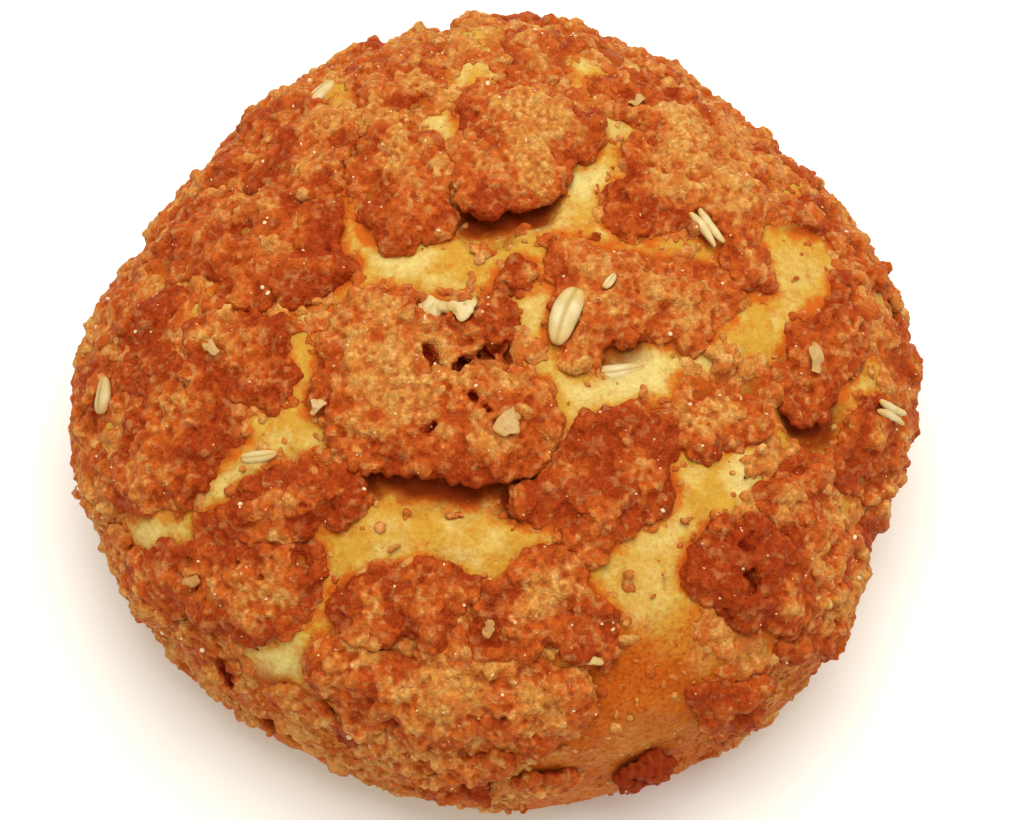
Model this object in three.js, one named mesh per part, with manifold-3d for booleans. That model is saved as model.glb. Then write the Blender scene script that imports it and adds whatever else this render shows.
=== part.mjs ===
// A round streusel bun: a soft dough bun whose oat streusel cracked into clumps as the dough rose.
// Millimetres, +Z up. The origin lies on the flat base, under the middle of the bun.
// A place on the crust is given by u and v, the way along the crust from the crown to the right
// and to the back, and by h, the height above the dough.

import * as THREE from 'three';
import { ImprovedNoise } from 'three/addons/math/ImprovedNoise.js';
import { mergeVertices } from 'three/addons/utils/BufferGeometryUtils.js';
import Module from 'manifold-3d';

const wasm = await Module();
wasm.setup();

// The bun, measured over its streusel
const HEIGHT = 41;
const WIDEST_HEIGHT = 12.5;
const MEAN_RADIUS = 52;
const BASE_RADIUS = 43;
const DOME_POWER = 2.3;
const BELLY_POWER = 2.2;
// Radius at the widest height, every 22.5 degrees from +X towards +Y
const RIM_RADII = [
  54.2, 51.5, 49.0, 51.2, 51.7, 50.3, 49.4, 49.5,
  53.7, 53.9, 52.2, 51.9, 53.5, 53.9, 54.7, 51.9,
];

// How deep the dough lies under that surface
const DEPTH_AT_CROWN = 4.3;
const DEPTH_AT_RIM = 2.6;
const DEPTH_FADE = [20, 60];
const BARE_BELLY = [64, 80];
const DOUGH_LUMP = 0.4;
const DOUGH_LUMP_SIZE = 17;
const DOUGH_RINGS = 16;
const DOUGH_SEGMENTS = 50;
const PROFILE_STEPS = 240;

// Streusel clumps
const LATTICE = 2.76;
const OUTLINE_SNAP = 0.3;
const OUTLINE_HALVINGS = 12;
const LOBE_BLEND = 1.2;
const EDGE_WOBBLE = 0.75;
const EDGE_WOBBLE_SIZE = 2.6;
const CLUMP_GAP = 0.8;
const FOOT_GAP = 0.35;
const FOOT_INSET = 0.8;
const TOP_INSET = 0.5;
const INSET_REACH = 3;
const WIDEST_SHARE = 0.45;
const EDGE_SHARE = 0.74;
const SHOULDER = 3.2;
const CRAG = 1.0;
const CRAG_SIZE = 3.4;
const GRIT = 0.5;
const GRIT_SIZE = 1.5;

// Oat grains and crevices
const GRAIN_SIDES = 6;
const GRAIN_RINGS = 4;
const GRAIN_PROUD = 0.15;
const GRAIN_FLATNESS = 0.62;
const DROP_HEIGHT = 15;
const SAMPLE = 0.05;
const WELD = 1e-4;

// Clumps in the order in which they fell: a later one stops short of the earlier ones.
// thick is the height over the dough, lift is how far the front edge stands off the dough,
// and lobes are the lumps that make it up, each with its place u, v and its radius.
const CLUMPS = [
  {
    name: 'streusel_crown', thick: 4.6, lift: 1.6,
    lobes: [
      [-12.5, -5.2, 7.9], [-11, -12.5, 8], [-2.5, -13, 8.4], [-1.8, -1.8, 3.8],
      [-17.3, -11, 3.9], [3.4, -12.5, 3.8], [-13.5, 0.6, 3.2], [3.2, -17, 3.4],
    ],
  },
  { name: 'streusel_nugget', thick: 3.2, lift: 0, lobes: [[3.2, 6, 2.3], [2.2, 4, 2.1]] },
  {
    name: 'streusel_right_slab', thick: 4.4, lift: 0.6,
    lobes: [
      [9.5, 7.6, 3.2], [10.6, 1.6, 4], [17, 3.4, 5.4], [23.4, 3, 5],
      [10, -4.9, 2.7], [14.5, -1.3, 2.8], [22.5, -1.6, 2.6],
    ],
  },
  {
    name: 'streusel_right_front', thick: 4.2, lift: 0.5,
    lobes: [
      [14, -16.6, 4.9], [11.6, -22.3, 4.6], [16, -20.6, 4.4], [18.6, -14, 3.2],
      [10.6, -27, 2.4], [9.6, -17, 2.6], [4, -23, 2.3], [7, -23.8, 2.2],
    ],
  },
  {
    name: 'streusel_back_slab', thick: 5, lift: 1.8,
    lobes: [
      [1.5, 20, 6], [3.5, 27, 6.4], [9.5, 25.6, 4], [-1.4, 30, 4],
      [-1.4, 15.4, 3.2], [4.6, 17, 3],
    ],
  },
  {
    name: 'streusel_back_left_slab', thick: 4.6, lift: 0.5,
    lobes: [[-12.6, 14.8, 5.3], [-10.6, 20.6, 5], [-15.2, 21, 4.2], [-7.6, 13, 3.1], [-13, 26, 3.6]],
  },
  {
    name: 'streusel_back_right', thick: 4.6, lift: 0.6,
    lobes: [
      [19, 16, 4.8], [24.5, 20, 6], [29, 15.6, 4.8], [30.6, 9.6, 2.8],
      [25, 27, 5.6], [31.4, 22.4, 5], [31, 6.6, 2.4], [18.8, 23.5, 2.6],
    ],
  },
  {
    name: 'streusel_front_slab_left', thick: 4.8, lift: 0.8,
    lobes: [[-14.4, -36, 4], [-8.4, -35, 4.4], [-17.5, -35.5, 2.4], [-4.8, -34, 2.4]],
  },
  {
    name: 'streusel_front_slab_right', thick: 4.6, lift: 0.4,
    lobes: [[7, -32.4, 4.4], [2.2, -36, 4], [10, -37, 4], [12.2, -39.6, 2.4], [-0.5, -38.5, 2.4]],
  },
  {
    name: 'streusel_front_slab_low', thick: 4.6, lift: 1,
    lobes: [
      [-19.6, -43.6, 4.2], [-13.4, -45.6, 4.8], [-5.4, -45, 5.4], [2.6, -45.4, 5.2],
      [8.4, -46.4, 3.6], [4.8, -50.6, 3], [-16.5, -49, 2.6], [-9.5, -50, 3],
    ],
  },
  {
    name: 'streusel_front_left_slab', thick: 4.8, lift: 0.8,
    lobes: [[-23.8, -22.6, 4.4], [-18.6, -22.4, 3.2], [-28, -23.5, 3.6]],
  },
  {
    name: 'streusel_front_left', thick: 4.2, lift: 0.8,
    lobes: [
      [-32.5, -27, 4.4], [-33, -33, 5], [-26.5, -31, 4.2], [-29, -37, 3.2],
      [-23, -30.5, 2.6], [-24.5, -34.5, 2.8],
    ],
  },
  {
    name: 'streusel_front_left_rim', thick: 3.6, lift: 1,
    lobes: [[-40, -31, 4.6], [-43.6, -33.4, 3.4], [-46.5, -30, 3]],
  },
  {
    name: 'streusel_front_left_side', thick: 2.8, lift: 0.4,
    lobes: [[-42, -41, 4], [-46.5, -37.5, 3.2], [-38, -45, 2.8]],
  },
  {
    name: 'streusel_left_slab', thick: 4.2, lift: 0.5,
    lobes: [[-30, -3.6, 4.4], [-26.4, -7, 3.5], [-34, -1.2, 3], [-33.8, -6.8, 2.8]],
  },
  {
    name: 'streusel_left_mid', thick: 4.4, lift: 1,
    lobes: [[-41, -13, 5], [-35, -13, 4.4], [-44.6, -18, 4.2], [-39, -19, 3.8], [-31.6, -14.5, 2.6]],
  },
  {
    name: 'streusel_left_dark', thick: 3.8, lift: 0.5,
    lobes: [[-42, -3.8, 3.6], [-38.2, -7.3, 2.6], [-44, 1, 3], [-41, 3.5, 2.8]],
  },
  { name: 'streusel_left_rim', thick: 3.2, lift: 0.3, lobes: [[-50, -3.5, 3.8], [-52.5, -9, 3]] },
  { name: 'streusel_left_rim_front', thick: 3, lift: 0.3, lobes: [[-51.5, -15.5, 3.2], [-51, -20, 2.6]] },
  {
    name: 'streusel_left_rim_back', thick: 3, lift: 0.3,
    lobes: [[-48.5, 4, 3.4], [-52.5, 7, 3], [-50, 10.5, 2.6]],
  },
  {
    name: 'streusel_left_back_lump', thick: 5, lift: 0.6,
    lobes: [[-22.4, 11.6, 2.8], [-23.6, 5.2, 3.4], [-19.8, 6, 2.4], [-22.2, 15.8, 2.2]],
  },
  {
    name: 'streusel_left_back', thick: 4.4, lift: 0.6,
    lobes: [[-30, 15.5, 4.6], [-27.5, 9.5, 4], [-34.5, 10.5, 4.6], [-31, 4.5, 3.6], [-27, 3, 2.4]],
  },
  {
    name: 'streusel_left_back_mid', thick: 4.2, lift: 0.5,
    lobes: [[-24.5, 20.5, 3.2], [-29.5, 22.5, 4.2], [-27, 27, 4], [-21.5, 27.5, 3.2], [-20.5, 22.8, 2.6]],
  },
  {
    name: 'streusel_left_back_outer', thick: 3.8, lift: 0.5,
    lobes: [[-39.5, 18, 4.8], [-44.5, 14.5, 4.2], [-40.5, 11, 3.4], [-36.5, 19, 3.4]],
  },
  {
    name: 'streusel_left_back_ridge', thick: 3.8, lift: 0.4,
    lobes: [[-35.5, 27, 4.6], [-40, 24.5, 3.6], [-33, 33, 3.6], [-29.5, 35.5, 3.2], [-26, 33, 2.8]],
  },
  {
    name: 'streusel_left_back_rim', thick: 3, lift: 0.3,
    lobes: [[-46, 22.5, 3.6], [-49.5, 17, 3.2], [-43.5, 28, 3.2]],
  },
  {
    name: 'streusel_back_ridge', thick: 3.6, lift: 0.4,
    lobes: [[-14, 33, 4.8], [-10, 36.6, 3.6], [-17.5, 29.5, 2.8], [-17, 37.5, 3.2]],
  },
  {
    name: 'streusel_back_mid_rim', thick: 3.4, lift: 0.4,
    lobes: [[5.6, 38.4, 4.4], [3.6, 43.6, 3.6], [8.6, 44, 3.2]],
  },
  {
    name: 'streusel_back_left_rim', thick: 3.2, lift: 0.3,
    lobes: [[-9, 43, 3.6], [-14, 43, 3.8], [-19, 42.5, 3]],
  },
  {
    name: 'streusel_back_right_rim', thick: 3.6, lift: 0.4,
    lobes: [[20, 34.4, 4.8], [26.4, 35, 4.2], [15, 34.6, 3], [31, 31.5, 3.6], [35.5, 27.5, 3.8]],
  },
  {
    name: 'streusel_back_right_top', thick: 3.2, lift: 0.3,
    lobes: [[13.4, 45.5, 3.6], [18.4, 42, 4], [23, 43, 3.2]],
  },
  { name: 'streusel_back_left_top', thick: 3, lift: 0.3, lobes: [[-34, 38.5, 3.2], [-29.5, 42.5, 3]] },
  {
    name: 'streusel_right', thick: 4.2, lift: 1.2,
    lobes: [
      [38.4, -1.2, 3.6], [37.6, -6, 4.2], [38.6, -10, 2.8], [42.4, 1.8, 3],
      [41.8, -2.8, 2.8], [43.5, 6.5, 2.4],
    ],
  },
  {
    name: 'streusel_right_rim', thick: 3.6, lift: 1,
    lobes: [[48.4, -11, 4.2], [46.6, -16.8, 3.6], [52, -15, 3.5], [50.5, -18.6, 2.4]],
  },
  {
    name: 'streusel_right_rim_back', thick: 2.8, lift: 0.3,
    lobes: [[49.2, 1.2, 3.6], [53, -1.8, 3], [48, 5.5, 2.4]],
  },
  {
    name: 'streusel_right_back', thick: 3.8, lift: 0.5,
    lobes: [[37.9, 16.6, 2.7], [41.5, 18.6, 2.6], [46, 16.4, 3.6], [46.6, 11.4, 3], [44.4, 21.4, 3]],
  },
  {
    name: 'streusel_mid_right', thick: 3.6, lift: 0.5,
    lobes: [[28.6, -11.6, 4], [24.3, -13.6, 3.4], [30.6, -8, 2.5], [23.4, -9.2, 2.2]],
  },
  {
    name: 'streusel_right_low', thick: 3.8, lift: 0.5,
    lobes: [[37, -20.4, 3.6], [39.6, -17.8, 2.2], [34.2, -22, 2.4], [37.4, -25.2, 2.4]],
  },
  {
    name: 'streusel_front_right', thick: 4.8, lift: 0.8,
    lobes: [[26, -29, 4.4], [31.5, -27.4, 4.2], [34.2, -32.4, 4.4], [28.6, -33, 3.4]],
  },
  {
    name: 'streusel_front_right_low', thick: 3.6, lift: 0.5,
    lobes: [[36.6, -36.8, 3.4], [33, -37.5, 2.4], [40.6, -36, 3.2], [44.6, -37.6, 2.8]],
  },
  {
    name: 'streusel_front_right_rim', thick: 3.8, lift: 0.4,
    lobes: [[42.6, -28.4, 4.2], [45.8, -33, 3.2], [47.4, -28.6, 3]],
  },
  {
    name: 'streusel_front_right_edge', thick: 4, lift: 0.6,
    lobes: [[29, -46.4, 3.4], [32.6, -44.4, 2.6], [25.8, -45.6, 2.2], [31.6, -50.4, 2.8]],
  },
  {
    name: 'streusel_front_side', thick: 3.2, lift: 0.6,
    lobes: [[-11, -55, 3.2], [-5.4, -55.4, 3], [-15.8, -54.4, 2.6], [-20.4, -53.6, 2.4], [0, -55.6, 2.2]],
  },
  {
    name: 'streusel_front_side_left', thick: 2.8, lift: 0.3,
    lobes: [[-24.8, -50, 2.4], [-28.4, -48, 2.2]],
  },
  { name: 'streusel_front_side_right', thick: 2.6, lift: 0.3, lobes: [[4, -60.2, 2.3], [9, -59.4, 2.2]] },
  {
    name: 'streusel_front_belly', thick: 3, lift: 0.3,
    lobes: [[-7, -61.3, 2.6], [-11.6, -60.6, 2.4], [-3, -61, 2.2]],
  },
  { name: 'streusel_front_nub', thick: 3.4, lift: 0.3, lobes: [[19.8, -60, 2.8], [23, -58.4, 2.2]] },
];

// Clumps round the rim, from the right over the back to the left, drawn by a seeded rule
const RIM_COUNT = 11;
const RIM_FROM = -38;
const RIM_TO = 218;
const RIM_WAY = 59.5;
const RIM_WAY_AT_BACK = 55.5;
const RIM_WAY_SPREAD = 2.6;
const RIM_LOBES = 5;
const RIM_LOBE_STEP = 4.6;
const RIM_LOBE_RADIUS = [2.8, 4.2];
const RIM_THICK = 3;
const RIM_LIFT = 0.3;
const RIM_SEED = 41;

// Oat grains: the node that each lies on, its place, length, width and its turn from +u in degrees
const GRAINS = [
  { on: 'streusel_right_slab', u: 8.1, v: -0.9, length: 8.1, width: 3.7, turn: 71 },
  { on: 'streusel_right_slab', u: 13.4, v: 3.1, length: 2.4, width: 1, turn: 55 },
  { on: 'streusel_back_right', u: 26.4, v: 12.4, length: 5.4, width: 2, turn: -60 },
  { on: 'streusel_crown', u: -7, v: 0.4, length: 4.4, width: 2.2, turn: -10 },
  { on: 'streusel_crown', u: -3.4, v: -0.4, length: 3.6, width: 2.4, turn: 30 },
  { on: 'streusel_crown', u: 1.8, v: -14.3, length: 3.4, width: 2.6, turn: 60 },
  { on: 'streusel_crown', u: -20, v: -11.8, length: 2.6, width: 1.2, turn: 55 },
  { on: 'streusel_front_slab_right', u: -0.8, v: -37.4, length: 3, width: 1.4, turn: 80 },
  { on: 'streusel_front_slab_right', u: 11.2, v: -40.4, length: 2.2, width: 1.4, turn: 5 },
  { on: 'streusel_right', u: 37.6, v: -4.4, length: 3.4, width: 1.8, turn: 95 },
  { on: 'streusel_right_rim', u: 50.2, v: -8.2, length: 5, width: 1.8, turn: -12 },
  { on: 'streusel_left_rim', u: -48.4, v: -6.2, length: 4.6, width: 2.4, turn: 65 },
  { on: 'streusel_front_left', u: -36.4, v: -31.2, length: 3.4, width: 2.2, turn: 10 },
  { on: 'streusel_left_slab', u: -33, v: -3.6, length: 2.6, width: 1.2, turn: -20 },
  { on: 'streusel_back_right_rim', u: 18.6, v: 32.4, length: 2.6, width: 1.6, turn: 60 },
  { on: 'dough', u: 14.2, v: -7.4, length: 7.6, width: 2, turn: 8 },
  { on: 'dough', u: -27.8, v: -17.2, length: 4.4, width: 1.5, turn: 6 },
  { on: 'dough', u: -24.4, v: 38, length: 4.6, width: 2.4, turn: 50 },
];

// Crevices: the clump that each opens, its place, length, width, turn and depth
const CREVICES = [
  { on: 'streusel_crown', u: -2, v: -6.2, length: 6.4, width: 1.5, turn: 24, depth: 3 },
  { on: 'streusel_back_left_slab', u: -6.6, v: 20.6, length: 4.6, width: 1.3, turn: 80, depth: 2.6 },
  { on: 'streusel_front_right', u: 29.6, v: -31.2, length: 6.4, width: 2, turn: -60, depth: 2.6 },
  { on: 'streusel_front_slab_low', u: -15, v: -46.6, length: 5, width: 1.5, turn: 50, depth: 2.6 },
];

const DOUGH_COLOUR = '#dfa63f';
const STREUSEL_COLOUR = '#b5692c';
const STREUSEL_ROUGHNESS = 0.85;
const DOUGH_ROUGHNESS = 0.55;

const noise = new ImprovedNoise();

function mixed(t, from, to) {
  return from + (to - from) * t;
}

// Half profile of the crust as way, radius and height, from the crown to the edge of the base
function crustProfile() {
  const rows = [];
  const add = (radius, height) => {
    const last = rows.at(-1);
    const way = last ? last.way + Math.hypot(radius - last.radius, height - last.height) : 0;
    rows.push({ way, radius, height });
  };
  for (let i = 0; i <= PROFILE_STEPS; i += 1) {
    const angle = (1 - i / PROFILE_STEPS) * Math.PI / 2;
    const rise = (HEIGHT - WIDEST_HEIGHT) * Math.sin(angle) ** (2 / DOME_POWER);
    add(MEAN_RADIUS * Math.max(0, Math.cos(angle)) ** (2 / DOME_POWER), WIDEST_HEIGHT + rise);
  }
  for (let i = 1; i <= PROFILE_STEPS; i += 1) {
    const angle = (i / PROFILE_STEPS) * Math.PI / 2;
    const reach = (MEAN_RADIUS - BASE_RADIUS) * Math.max(0, Math.cos(angle)) ** (2 / BELLY_POWER);
    add(BASE_RADIUS + reach, WIDEST_HEIGHT * (1 - Math.sin(angle) ** (2 / BELLY_POWER)));
  }
  return rows;
}

const PROFILE = crustProfile();
const WAY_TO_BASE = PROFILE.at(-1).way;

function profileAt(way) {
  let low = 0;
  let high = PROFILE.length - 1;
  while (high - low > 1) {
    const middle = (low + high) >> 1;
    if (PROFILE[middle].way <= way) low = middle;
    else high = middle;
  }
  const a = PROFILE[low];
  const b = PROFILE[high];
  const t = THREE.MathUtils.clamp((way - a.way) / (b.way - a.way), 0, 1);
  return { radius: mixed(t, a.radius, b.radius), height: mixed(t, a.height, b.height) };
}

// Rim radius in a direction, a smooth closed curve through the stated radii
function rimRadius(angle) {
  const count = RIM_RADII.length;
  const turn = THREE.MathUtils.euclideanModulo(angle / (2 * Math.PI), 1) * count;
  const i = Math.floor(turn);
  const t = turn - i;
  const [a, b, c, d] = [-1, 0, 1, 2].map((step) => RIM_RADII[(i + step + count) % count]);
  const bend = 2 * a - 5 * b + 4 * c - d + t * (3 * (b - c) + d - a);
  return b + 0.5 * t * (c - a + t * bend);
}

// Point of the surface over the streusel
function outerPoint(u, v) {
  const angle = Math.atan2(v, u);
  const { radius, height } = profileAt(Math.hypot(u, v));
  const reach = radius * rimRadius(angle) / MEAN_RADIUS;
  return new THREE.Vector3(reach * Math.cos(angle), reach * Math.sin(angle), height);
}

// Right, back and outward directions on the crust
function crustAxes(u, v) {
  const right = outerPoint(u + SAMPLE, v).sub(outerPoint(u - SAMPLE, v)).normalize();
  const back = outerPoint(u, v + SAMPLE).sub(outerPoint(u, v - SAMPLE)).normalize();
  const out = right.clone().cross(back).normalize();
  return { right, back: out.clone().cross(right), out };
}

function doughDepth(u, v) {
  const way = Math.hypot(u, v);
  const depth = mixed(THREE.MathUtils.smoothstep(way, ...DEPTH_FADE), DEPTH_AT_CROWN, DEPTH_AT_RIM);
  const lump = DOUGH_LUMP * noise.noise(u / DOUGH_LUMP_SIZE, v / DOUGH_LUMP_SIZE, 0.5);
  return (depth + lump) * (1 - THREE.MathUtils.smoothstep(way, ...BARE_BELLY));
}

// Point at height h above the dough
function crustPoint(u, v, h) {
  return outerPoint(u, v).addScaledVector(crustAxes(u, v).out, h - doughDepth(u, v));
}

function geometryFrom(points, index) {
  const geometry = new THREE.BufferGeometry().setFromPoints(points);
  geometry.setIndex(index);
  return geometry;
}

// The dough: rings along the crust from the crown to the edge of the flat base, closed by a fan
function doughGeometry() {
  const points = [crustPoint(0, 0, 0)];
  const index = [];
  const at = (ring, segment) => 1 + (ring - 1) * DOUGH_SEGMENTS + (segment % DOUGH_SEGMENTS);
  for (let ring = 1; ring <= DOUGH_RINGS; ring += 1) {
    const way = WAY_TO_BASE * ring / DOUGH_RINGS;
    for (let segment = 0; segment < DOUGH_SEGMENTS; segment += 1) {
      const angle = 2 * Math.PI * segment / DOUGH_SEGMENTS;
      const point = crustPoint(way * Math.cos(angle), way * Math.sin(angle), 0);
      if (ring === DOUGH_RINGS) point.z = 0;
      points.push(point);
    }
  }
  const baseMiddle = points.push(new THREE.Vector3(0, 0, 0)) - 1;
  for (let segment = 0; segment < DOUGH_SEGMENTS; segment += 1) {
    index.push(0, at(1, segment), at(1, segment + 1));
    for (let ring = 1; ring < DOUGH_RINGS; ring += 1) {
      const [a, b] = [at(ring, segment), at(ring, segment + 1)];
      const [c, d] = [at(ring + 1, segment), at(ring + 1, segment + 1)];
      index.push(a, c, d, a, d, b);
    }
    index.push(baseMiddle, at(DOUGH_RINGS, segment + 1), at(DOUGH_RINGS, segment));
  }
  return geometryFrom(points, index);
}

// Rim clumps, each a row of lobes along the rim, higher up at the back
function rimClumps() {
  let seed = RIM_SEED;
  const draw = (from, to) => {
    seed += 1;
    return mixed(THREE.MathUtils.seededRandom(seed), from, to);
  };
  return Array.from({ length: RIM_COUNT }, (_, i) => {
    const middle = THREE.MathUtils.degToRad(mixed((i + 0.5) / RIM_COUNT, RIM_FROM, RIM_TO));
    const way = mixed(Math.max(0, Math.sin(middle)), RIM_WAY, RIM_WAY_AT_BACK);
    const lobes = Array.from({ length: RIM_LOBES }, (_lobe, k) => {
      const angle = middle + (k - (RIM_LOBES - 1) / 2) * RIM_LOBE_STEP / way;
      const lobeWay = way + draw(-RIM_WAY_SPREAD, RIM_WAY_SPREAD);
      return [lobeWay * Math.cos(angle), lobeWay * Math.sin(angle), draw(...RIM_LOBE_RADIUS)];
    });
    return { name: `streusel_rim_${i + 1}`, thick: RIM_THICK, lift: RIM_LIFT, lobes };
  });
}

// Distance to a clump's wavy outline, negative inside
function clumpField(clump, seed) {
  const blended = (a, b) => {
    const t = Math.max(LOBE_BLEND - Math.abs(a - b), 0) / LOBE_BLEND;
    return Math.min(a, b) - t * t * LOBE_BLEND / 4;
  };
  return (u, v) => {
    const distances = clump.lobes.map((lobe) => Math.hypot(u - lobe[0], v - lobe[1]) - lobe[2]);
    const wobble = noise.noise(u / EDGE_WOBBLE_SIZE, v / EDGE_WOBBLE_SIZE, seed + 0.5);
    return distances.reduce(blended) + EDGE_WOBBLE * wobble;
  };
}

function outwardSlope(field, point) {
  const slope = new THREE.Vector2(
    field(point.x + SAMPLE, point.y) - field(point.x - SAMPLE, point.y),
    field(point.x, point.y + SAMPLE) - field(point.x, point.y - SAMPLE),
  );
  return slope.normalize();
}

// A triangle lattice cut along the outline: its points, triangles and outline edges
function latticeInside(field, lobes) {
  const reach = ([u, v, radius]) => [u - radius, v - radius, u + radius, v + radius];
  const boxes = lobes.map(reach);
  const minU = Math.min(...boxes.map((box) => box[0])) - 2 * LATTICE;
  const minV = Math.min(...boxes.map((box) => box[1])) - 2 * LATTICE;
  const rowStep = LATTICE * Math.sqrt(3) / 2;
  const columns = Math.ceil((Math.max(...boxes.map((box) => box[2])) - minU) / LATTICE) + 3;
  const rows = Math.ceil((Math.max(...boxes.map((box) => box[3])) - minV) / rowStep) + 3;
  const points = [];
  const sides = [];
  for (let row = 0; row < rows; row += 1) {
    for (let column = 0; column < columns; column += 1) {
      const point = new THREE.Vector2(minU + (column + (row % 2) / 2) * LATTICE, minV + row * rowStep);
      const distance = field(point.x, point.y);
      const snapped = Math.abs(distance) < OUTLINE_SNAP * LATTICE;
      if (snapped) point.addScaledVector(outwardSlope(field, point), -distance);
      points.push(point);
      sides.push(snapped ? 0 : Math.sign(distance));
    }
  }
  const crossings = new Map();
  const crossing = (a, b) => {
    const key = a < b ? `${a},${b}` : `${b},${a}`;
    if (!crossings.has(key)) {
      let [inner, outer] = sides[a] < 0 ? [points[a], points[b]] : [points[b], points[a]];
      for (let halving = 0; halving < OUTLINE_HALVINGS; halving += 1) {
        const middle = inner.clone().lerp(outer, 0.5);
        if (field(middle.x, middle.y) < 0) inner = middle;
        else outer = middle;
      }
      crossings.set(key, points.push(inner) - 1);
      sides.push(0);
    }
    return crossings.get(key);
  };
  const triangles = [];
  const clip = (corners) => {
    const polygon = [];
    corners.forEach((corner, k) => {
      const next = corners[(k + 1) % 3];
      if (sides[corner] <= 0) polygon.push(corner);
      if (sides[corner] * sides[next] < 0) polygon.push(crossing(corner, next));
    });
    if (polygon.length < 3) return;
    const middle = polygon.reduce((sum, corner) => sum.add(points[corner]), new THREE.Vector2());
    middle.divideScalar(polygon.length);
    if (polygon.every((corner) => sides[corner] === 0) && field(middle.x, middle.y) >= 0) return;
    for (let k = 2; k < polygon.length; k += 1) triangles.push([polygon[0], polygon[k - 1], polygon[k]]);
  };
  for (let row = 0; row + 1 < rows; row += 1) {
    for (let column = 0; column + 1 < columns; column += 1) {
      const a = row * columns + column;
      const c = a + columns;
      if (row % 2 === 0) {
        clip([a, a + 1, c]);
        clip([a + 1, c + 1, c]);
      } else {
        clip([a, a + 1, c + 1]);
        clip([a, c + 1, c]);
      }
    }
  }
  return { points, triangles: largestPatch(triangles) };
}

// The largest patch of triangles that share edges
function largestPatch(triangles) {
  const owner = new Map();
  triangles.forEach((corners, i) => {
    corners.forEach((corner, k) => owner.set(`${corner},${corners[(k + 1) % 3]}`, i));
  });
  const seen = new Set();
  let best = [];
  triangles.forEach((_, start) => {
    if (seen.has(start)) return;
    const patch = [];
    const waiting = [start];
    seen.add(start);
    while (waiting.length > 0) {
      const corners = triangles[waiting.pop()];
      patch.push(corners);
      corners.forEach((corner, k) => {
        const next = owner.get(`${corners[(k + 1) % 3]},${corner}`);
        if (next === undefined || seen.has(next)) return;
        seen.add(next);
        waiting.push(next);
      });
    }
    if (patch.length > best.length) best = patch;
  });
  return best;
}

// Height of a clump's craggy top over the dough
function topHeight(clump, seed, depth, u, v) {
  const share = mixed(THREE.MathUtils.smoothstep(depth, 0, SHOULDER), EDGE_SHARE, 1);
  const crag = CRAG * noise.noise(u / CRAG_SIZE, v / CRAG_SIZE, seed + 7.3);
  const grit = GRIT * noise.noise(u / GRIT_SIZE, v / GRIT_SIZE, seed + 3.9);
  return clump.thick * share + crag + grit;
}

// A clump: a craggy top, a wall that is widest part of the way up, and an undercut foot
function clumpGeometry(clump, seed, field) {
  const { points, triangles } = latticeInside(field, clump.lobes);
  const edges = triangles.flatMap((corners) => corners.map((corner, k) => [corner, corners[(k + 1) % 3]]));
  const known = new Set(edges.map(String));
  const outline = edges.filter(([a, b]) => !known.has(String([b, a])));
  const onOutline = new Set(outline.map(([a]) => a));
  const used = [...new Set(triangles.flat())];
  const frontV = Math.min(...used.map((i) => points[i].y));
  const backV = Math.max(...used.map((i) => points[i].y));
  const vertices = [];
  const levels = { top: new Map(), widest: new Map(), foot: new Map() };
  used.forEach((i) => {
    const point = points[i];
    const depth = onOutline.has(i) ? 0 : Math.max(0, -field(point.x, point.y));
    const slope = outwardSlope(field, point);
    const pulledIn = (inset) => {
      const share = Math.max(0, 1 - depth / (INSET_REACH * inset));
      return point.clone().addScaledVector(slope, -inset * share);
    };
    const place = (level, at, h) => levels[level].set(i, vertices.push(crustPoint(at.x, at.y, h)) - 1);
    const footHeight = FOOT_GAP + clump.lift * ((backV - point.y) / (backV - frontV)) ** 2;
    const height = Math.max(topHeight(clump, seed, depth, point.x, point.y), footHeight + 1);
    place('top', pulledIn(TOP_INSET), height);
    place('foot', pulledIn(FOOT_INSET), footHeight);
    if (onOutline.has(i)) place('widest', point, mixed(WIDEST_SHARE, footHeight, height));
  });
  const index = [];
  triangles.forEach(([a, b, c]) => {
    index.push(levels.top.get(a), levels.top.get(b), levels.top.get(c));
    index.push(levels.foot.get(a), levels.foot.get(c), levels.foot.get(b));
  });
  outline.forEach(([a, b]) => {
    [['widest', 'top'], ['foot', 'widest']].forEach(([low, high]) => {
      index.push(levels[low].get(a), levels[low].get(b), levels[high].get(b));
      index.push(levels[low].get(a), levels[high].get(b), levels[high].get(a));
    });
  });
  return geometryFrom(vertices, index);
}

// A pointed grain lying on the crust with its middle at height h
function grainGeometry({ u, v, length, width, turn }, h, depth) {
  const { right, back, out } = crustAxes(u, v);
  const geometry = new THREE.SphereGeometry(1, GRAIN_SIDES, GRAIN_RINGS);
  geometry.rotateZ(-Math.PI / 2);
  geometry.scale(length / 2, width / 2, depth / 2);
  geometry.rotateZ(THREE.MathUtils.degToRad(turn));
  const place = new THREE.Matrix4().makeBasis(right, back, out);
  return geometry.applyMatrix4(place.setPosition(crustPoint(u, v, h)));
}

function solidFrom(geometry) {
  geometry.deleteAttribute('normal');
  geometry.deleteAttribute('uv');
  const welded = mergeVertices(geometry, WELD);
  return new wasm.Manifold(new wasm.Mesh({
    numProp: 3,
    vertProperties: new Float32Array(welded.attributes.position.array),
    triVerts: new Uint32Array(welded.index.array),
  }));
}

// Height over the dough at which something dropped on a node settles
function settledHeight(geometry, u, v) {
  const down = crustAxes(u, v).out.negate();
  const ray = new THREE.Raycaster(crustPoint(u, v, DROP_HEIGHT), down);
  const [hit] = ray.intersectObject(new THREE.Mesh(geometry));
  return DROP_HEIGHT - hit.distance;
}

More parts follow.
